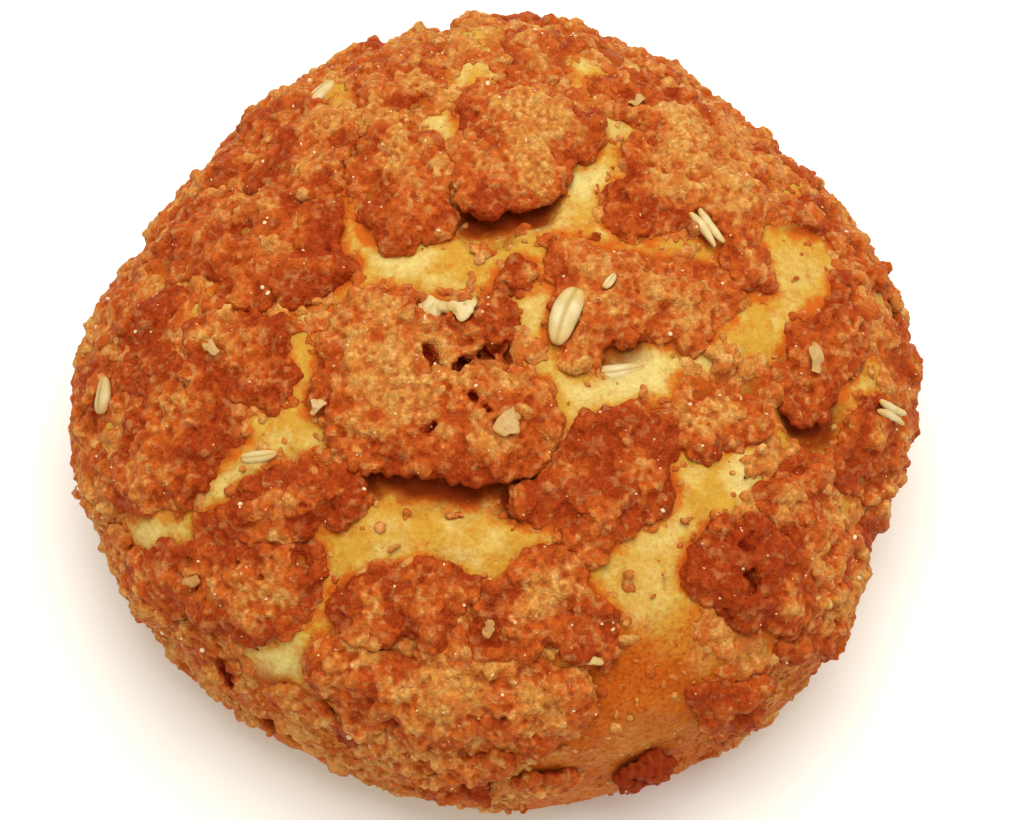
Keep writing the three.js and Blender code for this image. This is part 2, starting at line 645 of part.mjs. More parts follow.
// Opens a node's crevices and fuses its oat grains to it
function finished(name, geometry) {
  const crevices = CREVICES.filter((crevice) => crevice.on === name);
  const grains = GRAINS.filter((grain) => grain.on === name);
  if (crevices.length + grains.length === 0) return geometry;
  let solid = solidFrom(geometry);
  crevices.forEach((crevice) => {
    const cut = grainGeometry(crevice, settledHeight(geometry, crevice.u, crevice.v), 2 * crevice.depth);
    solid = solid.subtract(solidFrom(cut));
  });
  grains.forEach((grain) => {
    const height = settledHeight(geometry, grain.u, grain.v) + GRAIN_PROUD;
    solid = solid.add(solidFrom(grainGeometry(grain, height, grain.width * GRAIN_FLATNESS)));
  });
  const { vertProperties, triVerts } = solid.getMesh();
  const joined = new THREE.BufferGeometry();
  joined.setAttribute('position', new THREE.BufferAttribute(new Float32Array(vertProperties), 3));
  joined.setIndex([...triVerts]);
  return joined;
}

function namedMesh(name, geometry, color, roughness) {
  geometry.computeVertexNormals();
  const mesh = new THREE.Mesh(geometry, new THREE.MeshStandardMaterial({ color, roughness, metalness: 0 }));
  mesh.name = name;
  return mesh;
}

function buildBun() {
  const bun = new THREE.Group();
  const dough = finished('dough', doughGeometry());
  bun.add(namedMesh('dough', dough, DOUGH_COLOUR, DOUGH_ROUGHNESS));
  const fallen = [];
  [...CLUMPS, ...rimClumps()].forEach((clump, seed) => {
    const own = clumpField(clump, seed);
    const field = (u, v) => Math.max(own(u, v), ...fallen.map((other) => CLUMP_GAP - other(u, v)));
    const geometry = finished(clump.name, clumpGeometry(clump, seed, field));
    bun.add(namedMesh(clump.name, geometry, STREUSEL_COLOUR, STREUSEL_ROUGHNESS));
    fallen.push(own);
  });
  const middle = new THREE.Box3().setFromObject(bun).getCenter(new THREE.Vector3());
  bun.position.set(-middle.x, -middle.y, 0);
  return bun;
}

const group = new THREE.Group();
group.add(buildBun());

export default group;
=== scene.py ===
"""A round streusel bun: golden yeast dough under cracked clumps of browned oat streusel.

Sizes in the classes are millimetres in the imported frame. Pieces are handed to Blender in metres.
"""

import itertools
import logging
import math
from dataclasses import dataclass, field
from enum import Enum

import bmesh
import bpy
import numpy as np
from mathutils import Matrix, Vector
from mathutils.bvhtree import BVHTree
from mathutils.kdtree import KDTree


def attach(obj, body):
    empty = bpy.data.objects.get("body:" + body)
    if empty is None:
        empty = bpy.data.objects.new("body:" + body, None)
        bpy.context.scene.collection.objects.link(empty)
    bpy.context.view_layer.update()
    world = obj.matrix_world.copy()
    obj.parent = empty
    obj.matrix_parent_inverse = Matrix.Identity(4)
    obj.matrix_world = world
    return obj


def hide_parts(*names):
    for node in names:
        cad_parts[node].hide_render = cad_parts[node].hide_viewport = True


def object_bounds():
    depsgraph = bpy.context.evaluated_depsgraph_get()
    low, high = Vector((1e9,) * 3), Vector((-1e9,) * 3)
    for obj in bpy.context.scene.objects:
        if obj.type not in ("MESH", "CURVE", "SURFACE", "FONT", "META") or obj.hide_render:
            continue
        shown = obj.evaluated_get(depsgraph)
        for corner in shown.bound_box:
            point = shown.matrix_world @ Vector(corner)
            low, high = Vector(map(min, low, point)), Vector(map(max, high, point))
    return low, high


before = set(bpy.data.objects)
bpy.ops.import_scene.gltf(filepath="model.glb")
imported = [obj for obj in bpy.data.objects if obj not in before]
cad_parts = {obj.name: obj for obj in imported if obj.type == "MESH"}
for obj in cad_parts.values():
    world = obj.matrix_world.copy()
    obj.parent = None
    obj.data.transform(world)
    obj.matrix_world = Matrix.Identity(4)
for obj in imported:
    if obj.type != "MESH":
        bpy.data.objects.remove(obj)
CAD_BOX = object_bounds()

MM = 0.001
BODY = "root"
LOG = logging.getLogger("streusel_bun")
# Large odd numbers that stir the corners of the noise grid.
HASH_X, HASH_Y, HASH_Z, HASH_SEED, HASH_MIX = 73856093, 19349663, 83492791, 15485863, 1274126177
# Share of a patch's radius where it shows in full.
PATCH_CORE = 0.4


def linear(colour: str) -> tuple[float, float, float, float]:
    """Turns an sRGB hex colour into linear light.

    Args:
        colour: A hex colour such as "#d08a3c".

    Returns:
        Linear red, green and blue from 0 to 1, and full alpha.
    """
    channels = [int(colour[i:i + 2], 16) / 255 for i in (1, 3, 5)]
    red, green, blue = (c / 12.92 if c <= 0.04045 else ((c + 0.055) / 1.055) ** 2.4 for c in channels)
    return red, green, blue, 1.0


def add_node(
    tree: bpy.types.NodeTree,
    kind: str,
    settings: dict[str, object],
    sockets: dict[str | int, object],
) -> bpy.types.Node:
    """Adds a shader node with its settings and links.

    Args:
        tree: The material's node tree.
        kind: Blender's name for the type of node.
        settings: Properties to set on the node.
        sockets: Input sockets by name or number, each with a value or with the output to link to it.

    Returns:
        The new node.
    """
    node = tree.nodes.new(kind)
    for name, value in settings.items():
        setattr(node, name, value)
    for name, value in sockets.items():
        if isinstance(value, bpy.types.NodeSocket):
            tree.links.new(value, node.inputs[name])
        else:
            node.inputs[name].default_value = value
    return node


def smoothstep(values: np.ndarray, low: float, high: float) -> np.ndarray:
    """Eases values from 0 at low to 1 at high."""
    share = np.clip((values - low) / (high - low), 0, 1)
    return share * share * (3 - 2 * share)


def fading(away: np.ndarray, radius: float) -> np.ndarray:
    """Falls from 1 in the core of a patch to 0 at its radius."""
    return 1 - smoothstep(away, PATCH_CORE * radius, radius)


def unit(vectors: np.ndarray) -> np.ndarray:
    """Scales vectors to length 1."""
    return vectors / np.maximum(np.linalg.norm(vectors, axis=-1, keepdims=True), 1e-9)


def value_noise(points: np.ndarray, size: float, seed: int) -> np.ndarray:
    """Smooth random values at points in space.

    Args:
        points: Places in millimetres, one a row.
        size: Width of a bump in millimetres.
        seed: Number that picks the pattern.

    Returns:
        A value between -1 and 1 for each point.
    """
    cells = points / size
    corner = np.floor(cells).astype(np.int64)
    share = smoothstep(cells - corner, 0, 1)
    total = np.zeros(len(points))
    for step in itertools.product((0, 1), repeat=3):
        x, y, z = (corner + step).T
        code = (x * HASH_X) ^ (y * HASH_Y) ^ (z * HASH_Z) ^ (seed * HASH_SEED)
        code = (code ^ (code >> 13)) * HASH_MIX
        value = ((code ^ (code >> 16)) & 0xFFFF) / 0x7FFF - 1
        total += value * np.prod(np.where(step, share, 1 - share), axis=1)
    return total


def gaps_to(tree: BVHTree, points: np.ndarray) -> np.ndarray:
    """Measures how far points lie from the surface of a search tree, in millimetres."""
    return np.array([tree.find_nearest(Vector(point))[3] for point in points.tolist()])


def random_turns(rng: np.random.Generator, count: int) -> np.ndarray:
    """Draws random rotations.

    Args:
        rng: Seeded source of the draws.
        count: How many to draw.

    Returns:
        One 3 by 3 matrix for each.
    """
    w, x, y, z = unit(rng.normal(size=(count, 4))).T
    rows = [
        [1 - 2 * (y * y + z * z), 2 * (x * y - w * z), 2 * (x * z + w * y)],
        [2 * (x * y + w * z), 1 - 2 * (x * x + z * z), 2 * (y * z - w * x)],
        [2 * (x * z - w * y), 2 * (y * z + w * x), 1 - 2 * (x * x + y * y)],
    ]
    return np.array(rows).transpose(2, 0, 1)


@dataclass
class Surface:
    """A closed surface held as arrays, so that all its points move at once.

    points are millimetres, one a row, and faces are rows of three or four corners.
    """

    points: np.ndarray
    faces: np.ndarray

    @classmethod
    def of_mesh(cls, mesh: bpy.types.Mesh, scale: float) -> "Surface":
        """Reads a mesh as triangles.

        Args:
            mesh: The mesh to read.
            scale: Millimetres for each unit of the mesh.

        Returns:
            The surface.
        """
        mesh.calc_loop_triangles()
        points = np.empty(len(mesh.vertices) * 3)
        mesh.vertices.foreach_get("co", points)
        faces = np.empty(len(mesh.loop_triangles) * 3, np.int32)
        mesh.loop_triangles.foreach_get("vertices", faces)
        return cls(points.reshape(-1, 3) * scale, faces.reshape(-1, 3))

    @classmethod
    def of_node(cls, node: str) -> "Surface":
        """Reads a solid of the frame, which stays as it is."""
        return cls.of_mesh(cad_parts[node].data, 1 / MM)

    @classmethod
    def of_points(cls, points: np.ndarray) -> "Surface":
        """Holds loose points, without faces."""
        return cls(points, np.empty((0, 3), int))

    @classmethod
    def of_shape(cls, shape: str, **sizes: float) -> "Surface":
        """Makes one of Blender's basic shapes.

        Args:
            shape: Name of the bmesh operator after "create_".
            **sizes: The operator's sizes.

        Returns:
            The surface, round the origin.
        """
        blank = bmesh.new()
        getattr(bmesh.ops, f"create_{shape}")(blank, **sizes)
        mesh = bpy.data.meshes.new("scratch")
        blank.to_mesh(mesh)
        blank.free()
        surface = cls.of_mesh(mesh, 1.0)
        bpy.data.meshes.remove(mesh)
        return surface

    @classmethod
    def lump(cls) -> "Surface":
        """Makes a lump of radius 1, to be scattered as crumbs or crystals."""
        return cls.of_shape("icosphere", subdivisions=1, radius=1.0)

    @classmethod
    def joined(cls, surfaces: list["Surface"]) -> "Surface":
        """Puts surfaces of like faces into one.

        Args:
            surfaces: What to put together.

        Returns:
            One surface with all points and faces.
        """
        starts = np.cumsum([0] + [len(s.points) for s in surfaces[:-1]])
        faces = [s.faces + start for s, start in zip(surfaces, starts)]
        return cls(np.concatenate([s.points for s in surfaces]), np.concatenate(faces))

    def scattered(self, places: np.ndarray, sizes: np.ndarray, turns: np.ndarray) -> "Surface":
        """Repeats this surface at many places.

        Args:
            places: Where each copy goes.
            sizes: The three scales of each copy.
            turns: A rotation matrix for each copy.

        Returns:
            All copies as one surface.
        """
        local = self.points[None] * sizes[:, None]
        points = np.einsum("nij,nkj->nki", turns, local) + places[:, None]
        first = len(self.points) * np.arange(len(places))
        faces = self.faces[None] + first[:, None, None]
        return Surface(points.reshape(-1, 3), faces.reshape(-1, self.faces.shape[1]))

    def with_modifiers(self, modifiers: list[tuple[str, dict[str, object]]]) -> "Surface":
        """Runs Blender modifiers over this surface.

        Args:
            modifiers: Each modifier's type and settings, in order. Lengths are millimetres.

        Returns:
            The changed surface, with faces of four corners if all have four, or else of three.
        """
        mesh = bpy.data.meshes.new("scratch")
        mesh.from_pydata(self.points.tolist(), [], self.faces.tolist())
        scratch = bpy.data.objects.new("scratch", mesh)
        bpy.context.scene.collection.objects.link(scratch)
        for kind, settings in modifiers:
            modifier = scratch.modifiers.new(kind, kind)
            for name, value in settings.items():
                setattr(modifier, name, value)
        done = scratch.evaluated_get(bpy.context.evaluated_depsgraph_get()).to_mesh()
        corners = np.empty(len(done.loops), np.int32)
        done.loops.foreach_get("vertex_index", corners)
        if len(corners) == 4 * len(done.polygons):
            points = np.empty(len(done.vertices) * 3)
            done.vertices.foreach_get("co", points)
            result = Surface(points.reshape(-1, 3), corners.reshape(-1, 4))
        else:
            result = Surface.of_mesh(done, 1.0)
        bpy.data.objects.remove(scratch)
        bpy.data.meshes.remove(mesh)
        return result

    def fused(self, voxel: float) -> "Surface":
        """Fuses overlapping lumps into one skin with an even net of faces as wide as voxel."""
        return self.with_modifiers([("REMESH", {"mode": "VOXEL", "voxel_size": voxel})])

    def normals(self) -> np.ndarray:
        """Works out the outward direction at each point.

        Returns:
            One unit vector for each point.
        """
        a, b, c, d = (self.points[self.faces[:, k]] for k in (0, 1, 2, -1))
        across = np.cross(c - a, d - b) if self.faces.shape[1] == 4 else np.cross(b - a, c - a)
        total = np.zeros_like(self.points)
        for column, axis in itertools.product(range(self.faces.shape[1]), range(3)):
            total[:, axis] += np.bincount(self.faces[:, column], across[:, axis], len(total))
        return unit(total)

    def spread(self, values: np.ndarray, rounds: int) -> np.ndarray:
        """Evens values out along the surface.

        Args:
            values: One number or row of numbers for each point.
            rounds: How often each point takes on half of its neighbours' mean.

        Returns:
            The evened values.
        """
        start = self.faces.ravel()
        end = np.roll(self.faces, -1, axis=1).ravel()
        count = np.maximum(np.bincount(start, minlength=len(self.points)), 1)
        columns = np.atleast_2d(values.T).astype(float)
        for _ in range(rounds):
            columns = np.array([
                (column + np.bincount(start, column[end], len(count)) / count) / 2 for column in columns
            ])
        return columns.T.reshape(values.shape)

    def hollows(self, normals: np.ndarray, rounds: int) -> np.ndarray:
        """How far each point lies below the mean of its surroundings, in millimetres."""
        return np.einsum("ij,ij->i", self.spread(self.points, rounds) - self.points, normals)

    def tree(self) -> BVHTree:
        """Makes a search tree of the faces."""
        return BVHTree.FromPolygons(self.points.tolist(), self.faces.tolist())

    def thinned(self, ratio: float) -> "Surface":
        """Leaves out faces where the surface is smooth, until ratio of them is left."""
        return self.with_modifiers([("DECIMATE", {"ratio": ratio})])

    def triangles(self) -> "Surface":
        """Splits faces of four corners into triangles.

        Returns:
            A surface of triangles alone.
        """
        if self.faces.shape[1] == 3:
            return self
        return Surface(self.points, np.concatenate([self.faces[:, [0, 1, 2]], self.faces[:, [0, 2, 3]]]))

    def areas(self) -> np.ndarray:
        """Works out how much of the surface belongs to each point, in square millimetres.

        Returns:
            One area for each point.
        """
        faces = self.triangles().faces
        a, b, c = (self.points[faces[:, k]] for k in range(3))
        share = np.linalg.norm(np.cross(b - a, c - a), axis=1) / 6
        return np.bincount(faces.ravel(), np.repeat(share, 3), len(self.points))

    def nearest(self, points: np.ndarray) -> np.ndarray:
        """Finds the point of this surface next to each given point.

        Args:
            points: Places in millimetres, one a row.

        Returns:
            The number of this surface's nearest point for each.
        """
        near = KDTree(len(self.points))
        for number, point in enumerate(self.points.tolist()):
            near.insert(point, number)
        near.balance()
        return np.array([near.find(point)[1] for point in points.tolist()])

    def piece(
        self,
        name: str,
        material: bpy.types.Material,
        masks: dict[str, np.ndarray],
    ) -> bpy.types.Object:
        """Makes the finished piece that rides on the bun.

        Args:
            name: The piece's name.
            material: What it is dressed in.
            masks: Values for each point that the material reads, by name.

        Returns:
            The new object, in metres.
        """
        mesh = bpy.data.meshes.new(name)
        mesh.from_pydata((self.points * MM).tolist(), [], self.faces.tolist())
        mesh.shade_smooth()
        mesh.materials.append(material)
        for mask, values in masks.items():
            attribute = mesh.attributes.new(mask, "FLOAT", "POINT")
            attribute.data.foreach_set("value", values.astype(np.float32))
        piece = bpy.data.objects.new(name, mesh)
        bpy.context.scene.collection.objects.link(piece)
        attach(piece, BODY)
        return piece


@dataclass(frozen=True)
class Coat:
    """A layer of colour over what lies below it.

    source is a mask of the mesh or the output of a pattern. The coat shows from nothing at start to
    share at end.
    """

    colour: str
    source: str | bpy.types.NodeSocket
    start: float
    end: float
    share: float | bpy.types.NodeSocket = 1.0


@dataclass(frozen=True)
class Finish:
    """A finish: one material, made once."""

    name: str = "plain"

    def material(self) -> bpy.types.Material:
        """Makes the material, or hands out the one that was made before.

        Returns:
            The material.
        """
        found = bpy.data.materials.get(self.name)
        if found:
            return found
        material = bpy.data.materials.new(self.name)
        material.use_nodes = True
        tree = material.node_tree
        tree.nodes.clear()
        shader = self.shader(tree)
        add_node(tree, "ShaderNodeOutputMaterial", {}, {"Surface": shader.outputs[0]})
        return material

    def shader(self, tree: bpy.types.NodeTree) -> bpy.types.Node:
        """Builds the shader; each finish has its own."""
        raise NotImplementedError

    def coated(
        self,
        tree: bpy.types.NodeTree,
        below: tuple[float, float, float, float] | bpy.types.NodeSocket,
        coats: list[Coat],
    ) -> bpy.types.NodeSocket:
        """Lays coats of colour one over the other.

        Args:
            tree: The material's node tree.
            below: The colour under all coats.
            coats: The coats, from the lowest up.

        Returns:
            The colour that shows.
        """
        for coat in coats:
            source = coat.source
            if isinstance(source, str):
                source = add_node(tree, "ShaderNodeAttribute", {"attribute_name": source}, {}).outputs["Fac"]
            ramp = {"Value": source, "From Min": coat.start, "From Max": coat.end, "To Max": coat.share}
            share = add_node(tree, "ShaderNodeMapRange", {}, ramp).outputs["Result"]
            layers = {0: share, 6: below, 7: linear(coat.colour)}
            below = add_node(tree, "ShaderNodeMix", {"data_type": "RGBA"}, layers).outputs[2]
        return below


@dataclass(frozen=True)
class BakedStreusel(Finish):
    """Oat streusel, rubbed from butter, sugar, flour and oats, and baked.

    Sandy ochre in the middle of a clump and redder where its edge browned. Each grain has its own
    tone. Painted shade darkens the seams between grains, hollows, undersides, caves and cracks, down to
    nearly black-red. Dry crumb hardly shines.
    """

    name: str = "oat_streusel_baked"
    crumb: str = "#c88a40"
    toasted: str = "#b9561e"
    burnt_and_shade: str = "#963310"
    pale: str = "#e2ba6e"
    char_and_shade: str = "#741806"
    glint: str = "#ffc890"
    # Sugar and flour bake to grains of about 0.3 mm, drawn a little coarser so that they show.
    grain_mm: float = 0.42
    grain_depth_mm: float = 0.16
    grain_tones: tuple[float, float] = (0.82, 1.2)
    # Butter leaves glossier spots the size of a crumb.
    sheen_mm: float = 0.7
    roughness: tuple[float, float] = (0.35, 0.8)
    shine: float = 0.09
    ior: float = 1.47

    def shader(self, tree: bpy.types.NodeTree) -> bpy.types.Node:
        """Builds the shader from masks of browning and painted shade, grain tone, and painted shade with
        charring.

        Args:
            tree: The material's node tree.

        Returns:
            The shader node.
        """
        place = add_node(tree, "ShaderNodeTexCoord", {}, {}).outputs["Object"]
        cells = {"Vector": place, "Scale": 1 / (self.grain_mm * MM)}
        sand = add_node(tree, "ShaderNodeTexVoronoi", {}, cells)
        gleams = {"Vector": place, "Scale": 1 / (self.sheen_mm * MM), "Detail": 1.0}
        sheen = add_node(tree, "ShaderNodeTexNoise", {}, gleams).outputs["Fac"]
        baked = self.coated(tree, linear(self.crumb), [
            Coat(self.toasted, "toast", 0.0, 0.5),
            Coat(self.burnt_and_shade, "toast", 0.5, 1.0),
            Coat(self.pale, "tint", 0.55, 1.0, 0.5),
            Coat(self.toasted, "tint", 0.4, 0.0, 0.5),
        ])
        darkest, lightest = self.grain_tones
        tones = {"From Min": 0.2, "From Max": 0.8, "To Min": darkest, "To Max": lightest}
        speck = add_node(tree, "ShaderNodeMapRange", {}, {"Value": sand.outputs["Color"], **tones})
        scaled = {0: baked, "Scale": speck.outputs["Result"]}
        specked = add_node(tree, "ShaderNodeVectorMath", {"operation": "SCALE"}, scaled)
        colour = self.coated(tree, specked.outputs[0], [
            # Painted shade in the seams between grains, in the toasted colour.
            Coat(self.toasted, sand.outputs["Distance"], 0.4, 0.9, 0.4),
            # Painted shade: dark red and then nearly black-red in hollows, undersides, caves and cracks, and
            # on charring.
            Coat(self.burnt_and_shade, "shade_and_char", 0.05, 0.9, 0.7),
            Coat(self.char_and_shade, "shade_and_char", 0.8, 1.6),
        ])
        smooth, dull = self.roughness
        gloss = {"From Min": 0.4, "From Max": 0.6, "To Min": smooth, "To Max": dull}
        rough = add_node(tree, "ShaderNodeMapRange", {}, {"Value": sheen, **gloss}).outputs["Result"]
        relief = {"Height": sand.outputs["Distance"], "Distance": self.grain_depth_mm * MM}
        bump = add_node(tree, "ShaderNodeBump", {"invert": True}, relief)
        sockets = {
            "Base Color": colour,
            "Roughness": rough,
            "Specular IOR Level": self.shine,
            "Specular Tint": linear(self.glint),
            "IOR": self.ior,
            "Normal": bump.outputs[0],
        }
        return add_node(tree, "ShaderNodeBsdfPrincipled", {}, sockets)


@dataclass(frozen=True)
class BakedDough(Finish):
    """Enriched yeast dough with a thin baked skin.

    Satin gold where it stretched late between the clumps, pale where the skin is thinnest, and orange where
    butter ran from the streusel and where it faced the oven. One pale patch is a painted highlight, and
    painted shade turns it orange in caves and dark red under the clumps, in caves and in the side's holes.
    """

    name: str = "yeast_dough_baked"
    gold: str = "#ce9f39"
    cream_and_highlight: str = "#e3d482"
    orange: str = "#cd641c"
    brown: str = "#c05c16"
    grit: str = "#a8440e"
    shade: str = "#6e1404"
    glint: str = "#ffd890"
    # Butter soaks in as streaks of some 2 mm, and the stretched skin is mottled at half of that.
    streak_mm: float = 1.7
    mottle_mm: float = 0.9
    # Pores of baked skin are about 0.5 mm, drawn a little coarser so that they show.
    pore_mm: float = 0.8
    pore_depth_mm: float = 0.3
    # Streusel dust lies on the crust in specks of half a millimetre.
    grit_mm: float = 0.5
    roughness: tuple[float, float] = (0.4, 0.65)
    shine: float = 0.1
    ior: float = 1.45
    translucence: float = 0.15
    light_reach_mm: tuple[float, float, float] = (2.2, 0.9, 0.3)

    def shader(self, tree: bpy.types.NodeTree) -> bpy.types.Node:
        """Builds the shader from masks: pale skin and a painted highlight, butter and painted shade, crust,
        and shade.

        Args:
            tree: The material's node tree.

        Returns:
            The shader node.
        """
        place = add_node(tree, "ShaderNodeTexCoord", {}, {}).outputs["Object"]
        patterns = []
        for size_mm, detail, roughness in (
            (self.streak_mm, 6.0, 0.75),
            (self.mottle_mm, 5.0, 0.7),
            (self.pore_mm, 4.0, 0.7),
            (self.grit_mm, 2.0, 0.5),
        ):
            sockets = {"Vector": place, "Scale": 1 / (size_mm * MM), "Detail": detail, "Roughness": roughness}
            patterns.append(add_node(tree, "ShaderNodeTexNoise", {}, sockets).outputs["Fac"])
        streak, mottle, pore, grit = patterns
        broken = []
        for name, pattern, weight in (
            ("cream_and_highlight", mottle, 1.8),
            ("butter", streak, 2.0),
            ("crust", streak, 0.9),
        ):
            level = add_node(tree, "ShaderNodeAttribute", {"attribute_name": name}, {}).outputs["Fac"]
            sockets = {0: pattern, 1: weight, 2: level}
            broken.append(add_node(tree, "ShaderNodeMath", {"operation": "MULTIPLY_ADD"}, sockets).outputs[0])
        cream_and_highlight, butter, crust = broken
        ramp = {"Value": crust, "From Min": 0.3, "From Max": 1.3}
        crusted = add_node(tree, "ShaderNodeMapRange", {}, ramp).outputs["Result"]
        colour = self.coated(tree, linear(self.gold), [
            # Pale skin, with one painted highlight.
            Coat(self.cream_and_highlight, cream_and_highlight, 0.95, 1.9),
            # Butter stain, and painted orange shade in caves.
            Coat(self.orange, butter, 1.33, 1.9),
            Coat(self.brown, crusted, 0.0, 1.0),
            Coat(self.grit, grit, 0.45, 0.7, crusted),
            # Painted shade under the clumps, in caves and in holes.
            Coat(self.shade, "covered", 0.0, 1.0),
        ])
        smooth, dull = self.roughness
        gloss = {"Value": pore, "From Min": 0.3, "From Max": 0.7, "To Min": smooth, "To Max": dull}
        rough = add_node(tree, "ShaderNodeMapRange", {}, gloss).outputs["Result"]
        bump = add_node(tree, "ShaderNodeBump", {}, {"Height": pore, "Distance": self.pore_depth_mm * MM})
        sockets = {
            "Base Color": colour,
            "Roughness": rough,
            "Specular IOR Level": self.shine,
            "Specular Tint": linear(self.glint),
            "IOR": self.ior,
            "Normal": bump.outputs[0],
            "Subsurface Weight": self.translucence,
            "Subsurface Radius": self.light_reach_mm,
            "Subsurface Scale": MM,
        }
        return add_node(tree, "ShaderNodeBsdfPrincipled", {}, sockets)


@dataclass(frozen=True)
class OatHusk(Finish):
    """Husked oat kernels: pale straw with a darker crease, dry and faintly waxy."""

    name: str = "oat_kernel_toasted"
    straw: str = "#c9af64"
    bloom: str = "#dec998"
    crease: str = "#ab8a3c"
    tip: str = "#cfa352"
    toasted: str = "#b87f3a"
    # Starch shows through the bran in patches half as wide as a kernel.
    bloom_mm: float = 1.6
    # Bran fibres are under 0.1 mm, drawn coarser so that they show.
    fibre_mm: float = 0.25
    fibre_depth_mm: float = 0.06
    ior: float = 1.45
    roughness: float = 0.48

    def shader(self, tree: bpy.types.NodeTree) -> bpy.types.Node:
        """Builds the shader from the masks crease, tip and toast.

        Args:
            tree: The material's node tree.

        Returns:
            The shader node.
        """
        place = add_node(tree, "ShaderNodeTexCoord", {}, {}).outputs["Object"]
        patterns = []
        for size_mm in (self.bloom_mm, self.fibre_mm):
            sockets = {"Vector": place, "Scale": 1 / (size_mm * MM), "Detail": 2.0}
            patterns.append(add_node(tree, "ShaderNodeTexNoise", {}, sockets).outputs["Fac"])
        bloom, fibre = patterns
        colour = self.coated(tree, linear(self.straw), [
            Coat(self.bloom, bloom, 0.3, 0.7),
            Coat(self.tip, "tip", 0.35, 1.0, 0.8),
            Coat(self.toasted, "toast", 0.0, 1.0),
            Coat(self.crease, "crease", 0.0, 1.0, 0.9),
        ])
        bump = add_node(tree, "ShaderNodeBump", {}, {"Height": fibre, "Distance": self.fibre_depth_mm * MM})
        sockets = {
            "Base Color": colour,
            "Roughness": self.roughness,
            "IOR": self.ior,
            "Normal": bump.outputs[0],
        }
        return add_node(tree, "ShaderNodeBsdfPrincipled", {}, sockets)


@dataclass(frozen=True)
class SugarCrystal(Finish):
    """Coarse sugar crystals, clear with flat faces that glint."""

    name: str = "sugar_crystallised"
    clear: str = "#eed4a6"
    amber: str = "#d89a4e"
    ior: float = 1.54
    roughness: float = 0.2

    def shader(self, tree: bpy.types.NodeTree) -> bpy.types.Node:
        """Builds the shader from the mask tint.

        Args:
            tree: The material's node tree.

        Returns:
            The shader node.
        """
        colour = self.coated(tree, linear(self.clear), [Coat(self.amber, "tint", 0.3, 1.0)])
        sockets = {"Base Color": colour, "Roughness": self.roughness, "IOR": self.ior}
        return add_node(tree, "ShaderNodeBsdfPrincipled", {}, sockets)


@dataclass(frozen=True)
class PaleFloor(Finish):
    """A plain pale studio floor, matt, with a barely uneven tone."""

    name: str = "studio_floor_painted"
    bright: str = "#fffffa"
    soft: str = "#fdfdf4"
    # A rolled coat of paint varies over about a hand's width.
    cloud_mm: float = 90.0
    roughness: float = 0.6

    def shader(self, tree: bpy.types.NodeTree) -> bpy.types.Node:
        """Builds the shader.

        Args:
            tree: The material's node tree.

        Returns:
            The shader node.
        """
        place = add_node(tree, "ShaderNodeTexCoord", {}, {}).outputs["Object"]
        clouds = {"Vector": place, "Scale": 1 / (self.cloud_mm * MM), "Detail": 1.0}
        cloud = add_node(tree, "ShaderNodeTexNoise", {}, clouds).outputs["Fac"]
        colour = self.coated(tree, linear(self.bright), [Coat(self.soft, cloud, 0.0, 1.0)])
        sockets = {"Base Color": colour, "Roughness": self.roughness}
        return add_node(tree, "ShaderNodeBsdfPrincipled", {}, sockets)


class Tone(Enum):
    """How far a clump has browned, as the toast in the middle of its top."""

    PALE = 0.05
    OCHRE = 0.15
    BROWN = 0.3
    RED = 0.4
    DARK = 0.55
    CHARRED = 1.8


class OatForm(Enum):
    """How an oat grain lies on the bun."""

    WHOLE = "whole"
    SPLIT = "split"
    FLAKE = "flake"


@dataclass(frozen=True)
class OatGrain:
    """One oat grain: the node that it lies on, its place on the dough below, and its size.

    turn is the way that its length points in plan, in degrees from +X, and toast is how far it
    browned. bed is how far the streusel under it is pressed, as a share of its size.
    """

    on: str
    x: float
    y: float
    length: float
    width: float
    turn: float
    form: OatForm = OatForm.WHOLE
    toast: float = 0.0
    bed: float = 0.55

    def covers(self, points: np.ndarray, middle: np.ndarray) -> np.ndarray:
        """Finds the points that lie under the grain in plan.

        Args:
            points: Places in millimetres, one a row.
            middle: Where the grain lies.

        Returns:
            True for each point under it.
        """
        ahead = np.array([math.cos(math.radians(self.turn)), math.sin(math.radians(self.turn))])
        aside = np.array([-ahead[1], ahead[0]])
        offset = points[:, :2] - middle[:2]
        share = np.hypot(offset @ ahead / self.length, offset @ aside / self.width)
        return share < self.bed


@dataclass(frozen=True)
class Patch:
    """A round patch of the bun's top in plan, with how strongly it shows."""

    x: float
    y: float
    radius: float
    strength: float


def patches(*rows: tuple[float, float, float, float]) -> tuple[Patch, ...]:
    """Makes patches from rows of x, y, radius and strength, read off the photograph."""
    return tuple(Patch(*row) for row in rows)


def shown(places: tuple[Patch, ...], points: np.ndarray) -> np.ndarray:
    """Works out how strongly patches show at points.

    Args:
        places: The patches.
        points: Places in millimetres, one a row.

    Returns:
        A value from 0 to 1 for each point.
    """
    total = np.zeros(len(points))
    for patch in places:
        away = np.hypot(points[:, 0] - patch.x, points[:, 1] - patch.y)
        total = np.maximum(total, patch.strength * fading(away, patch.radius))
    return total


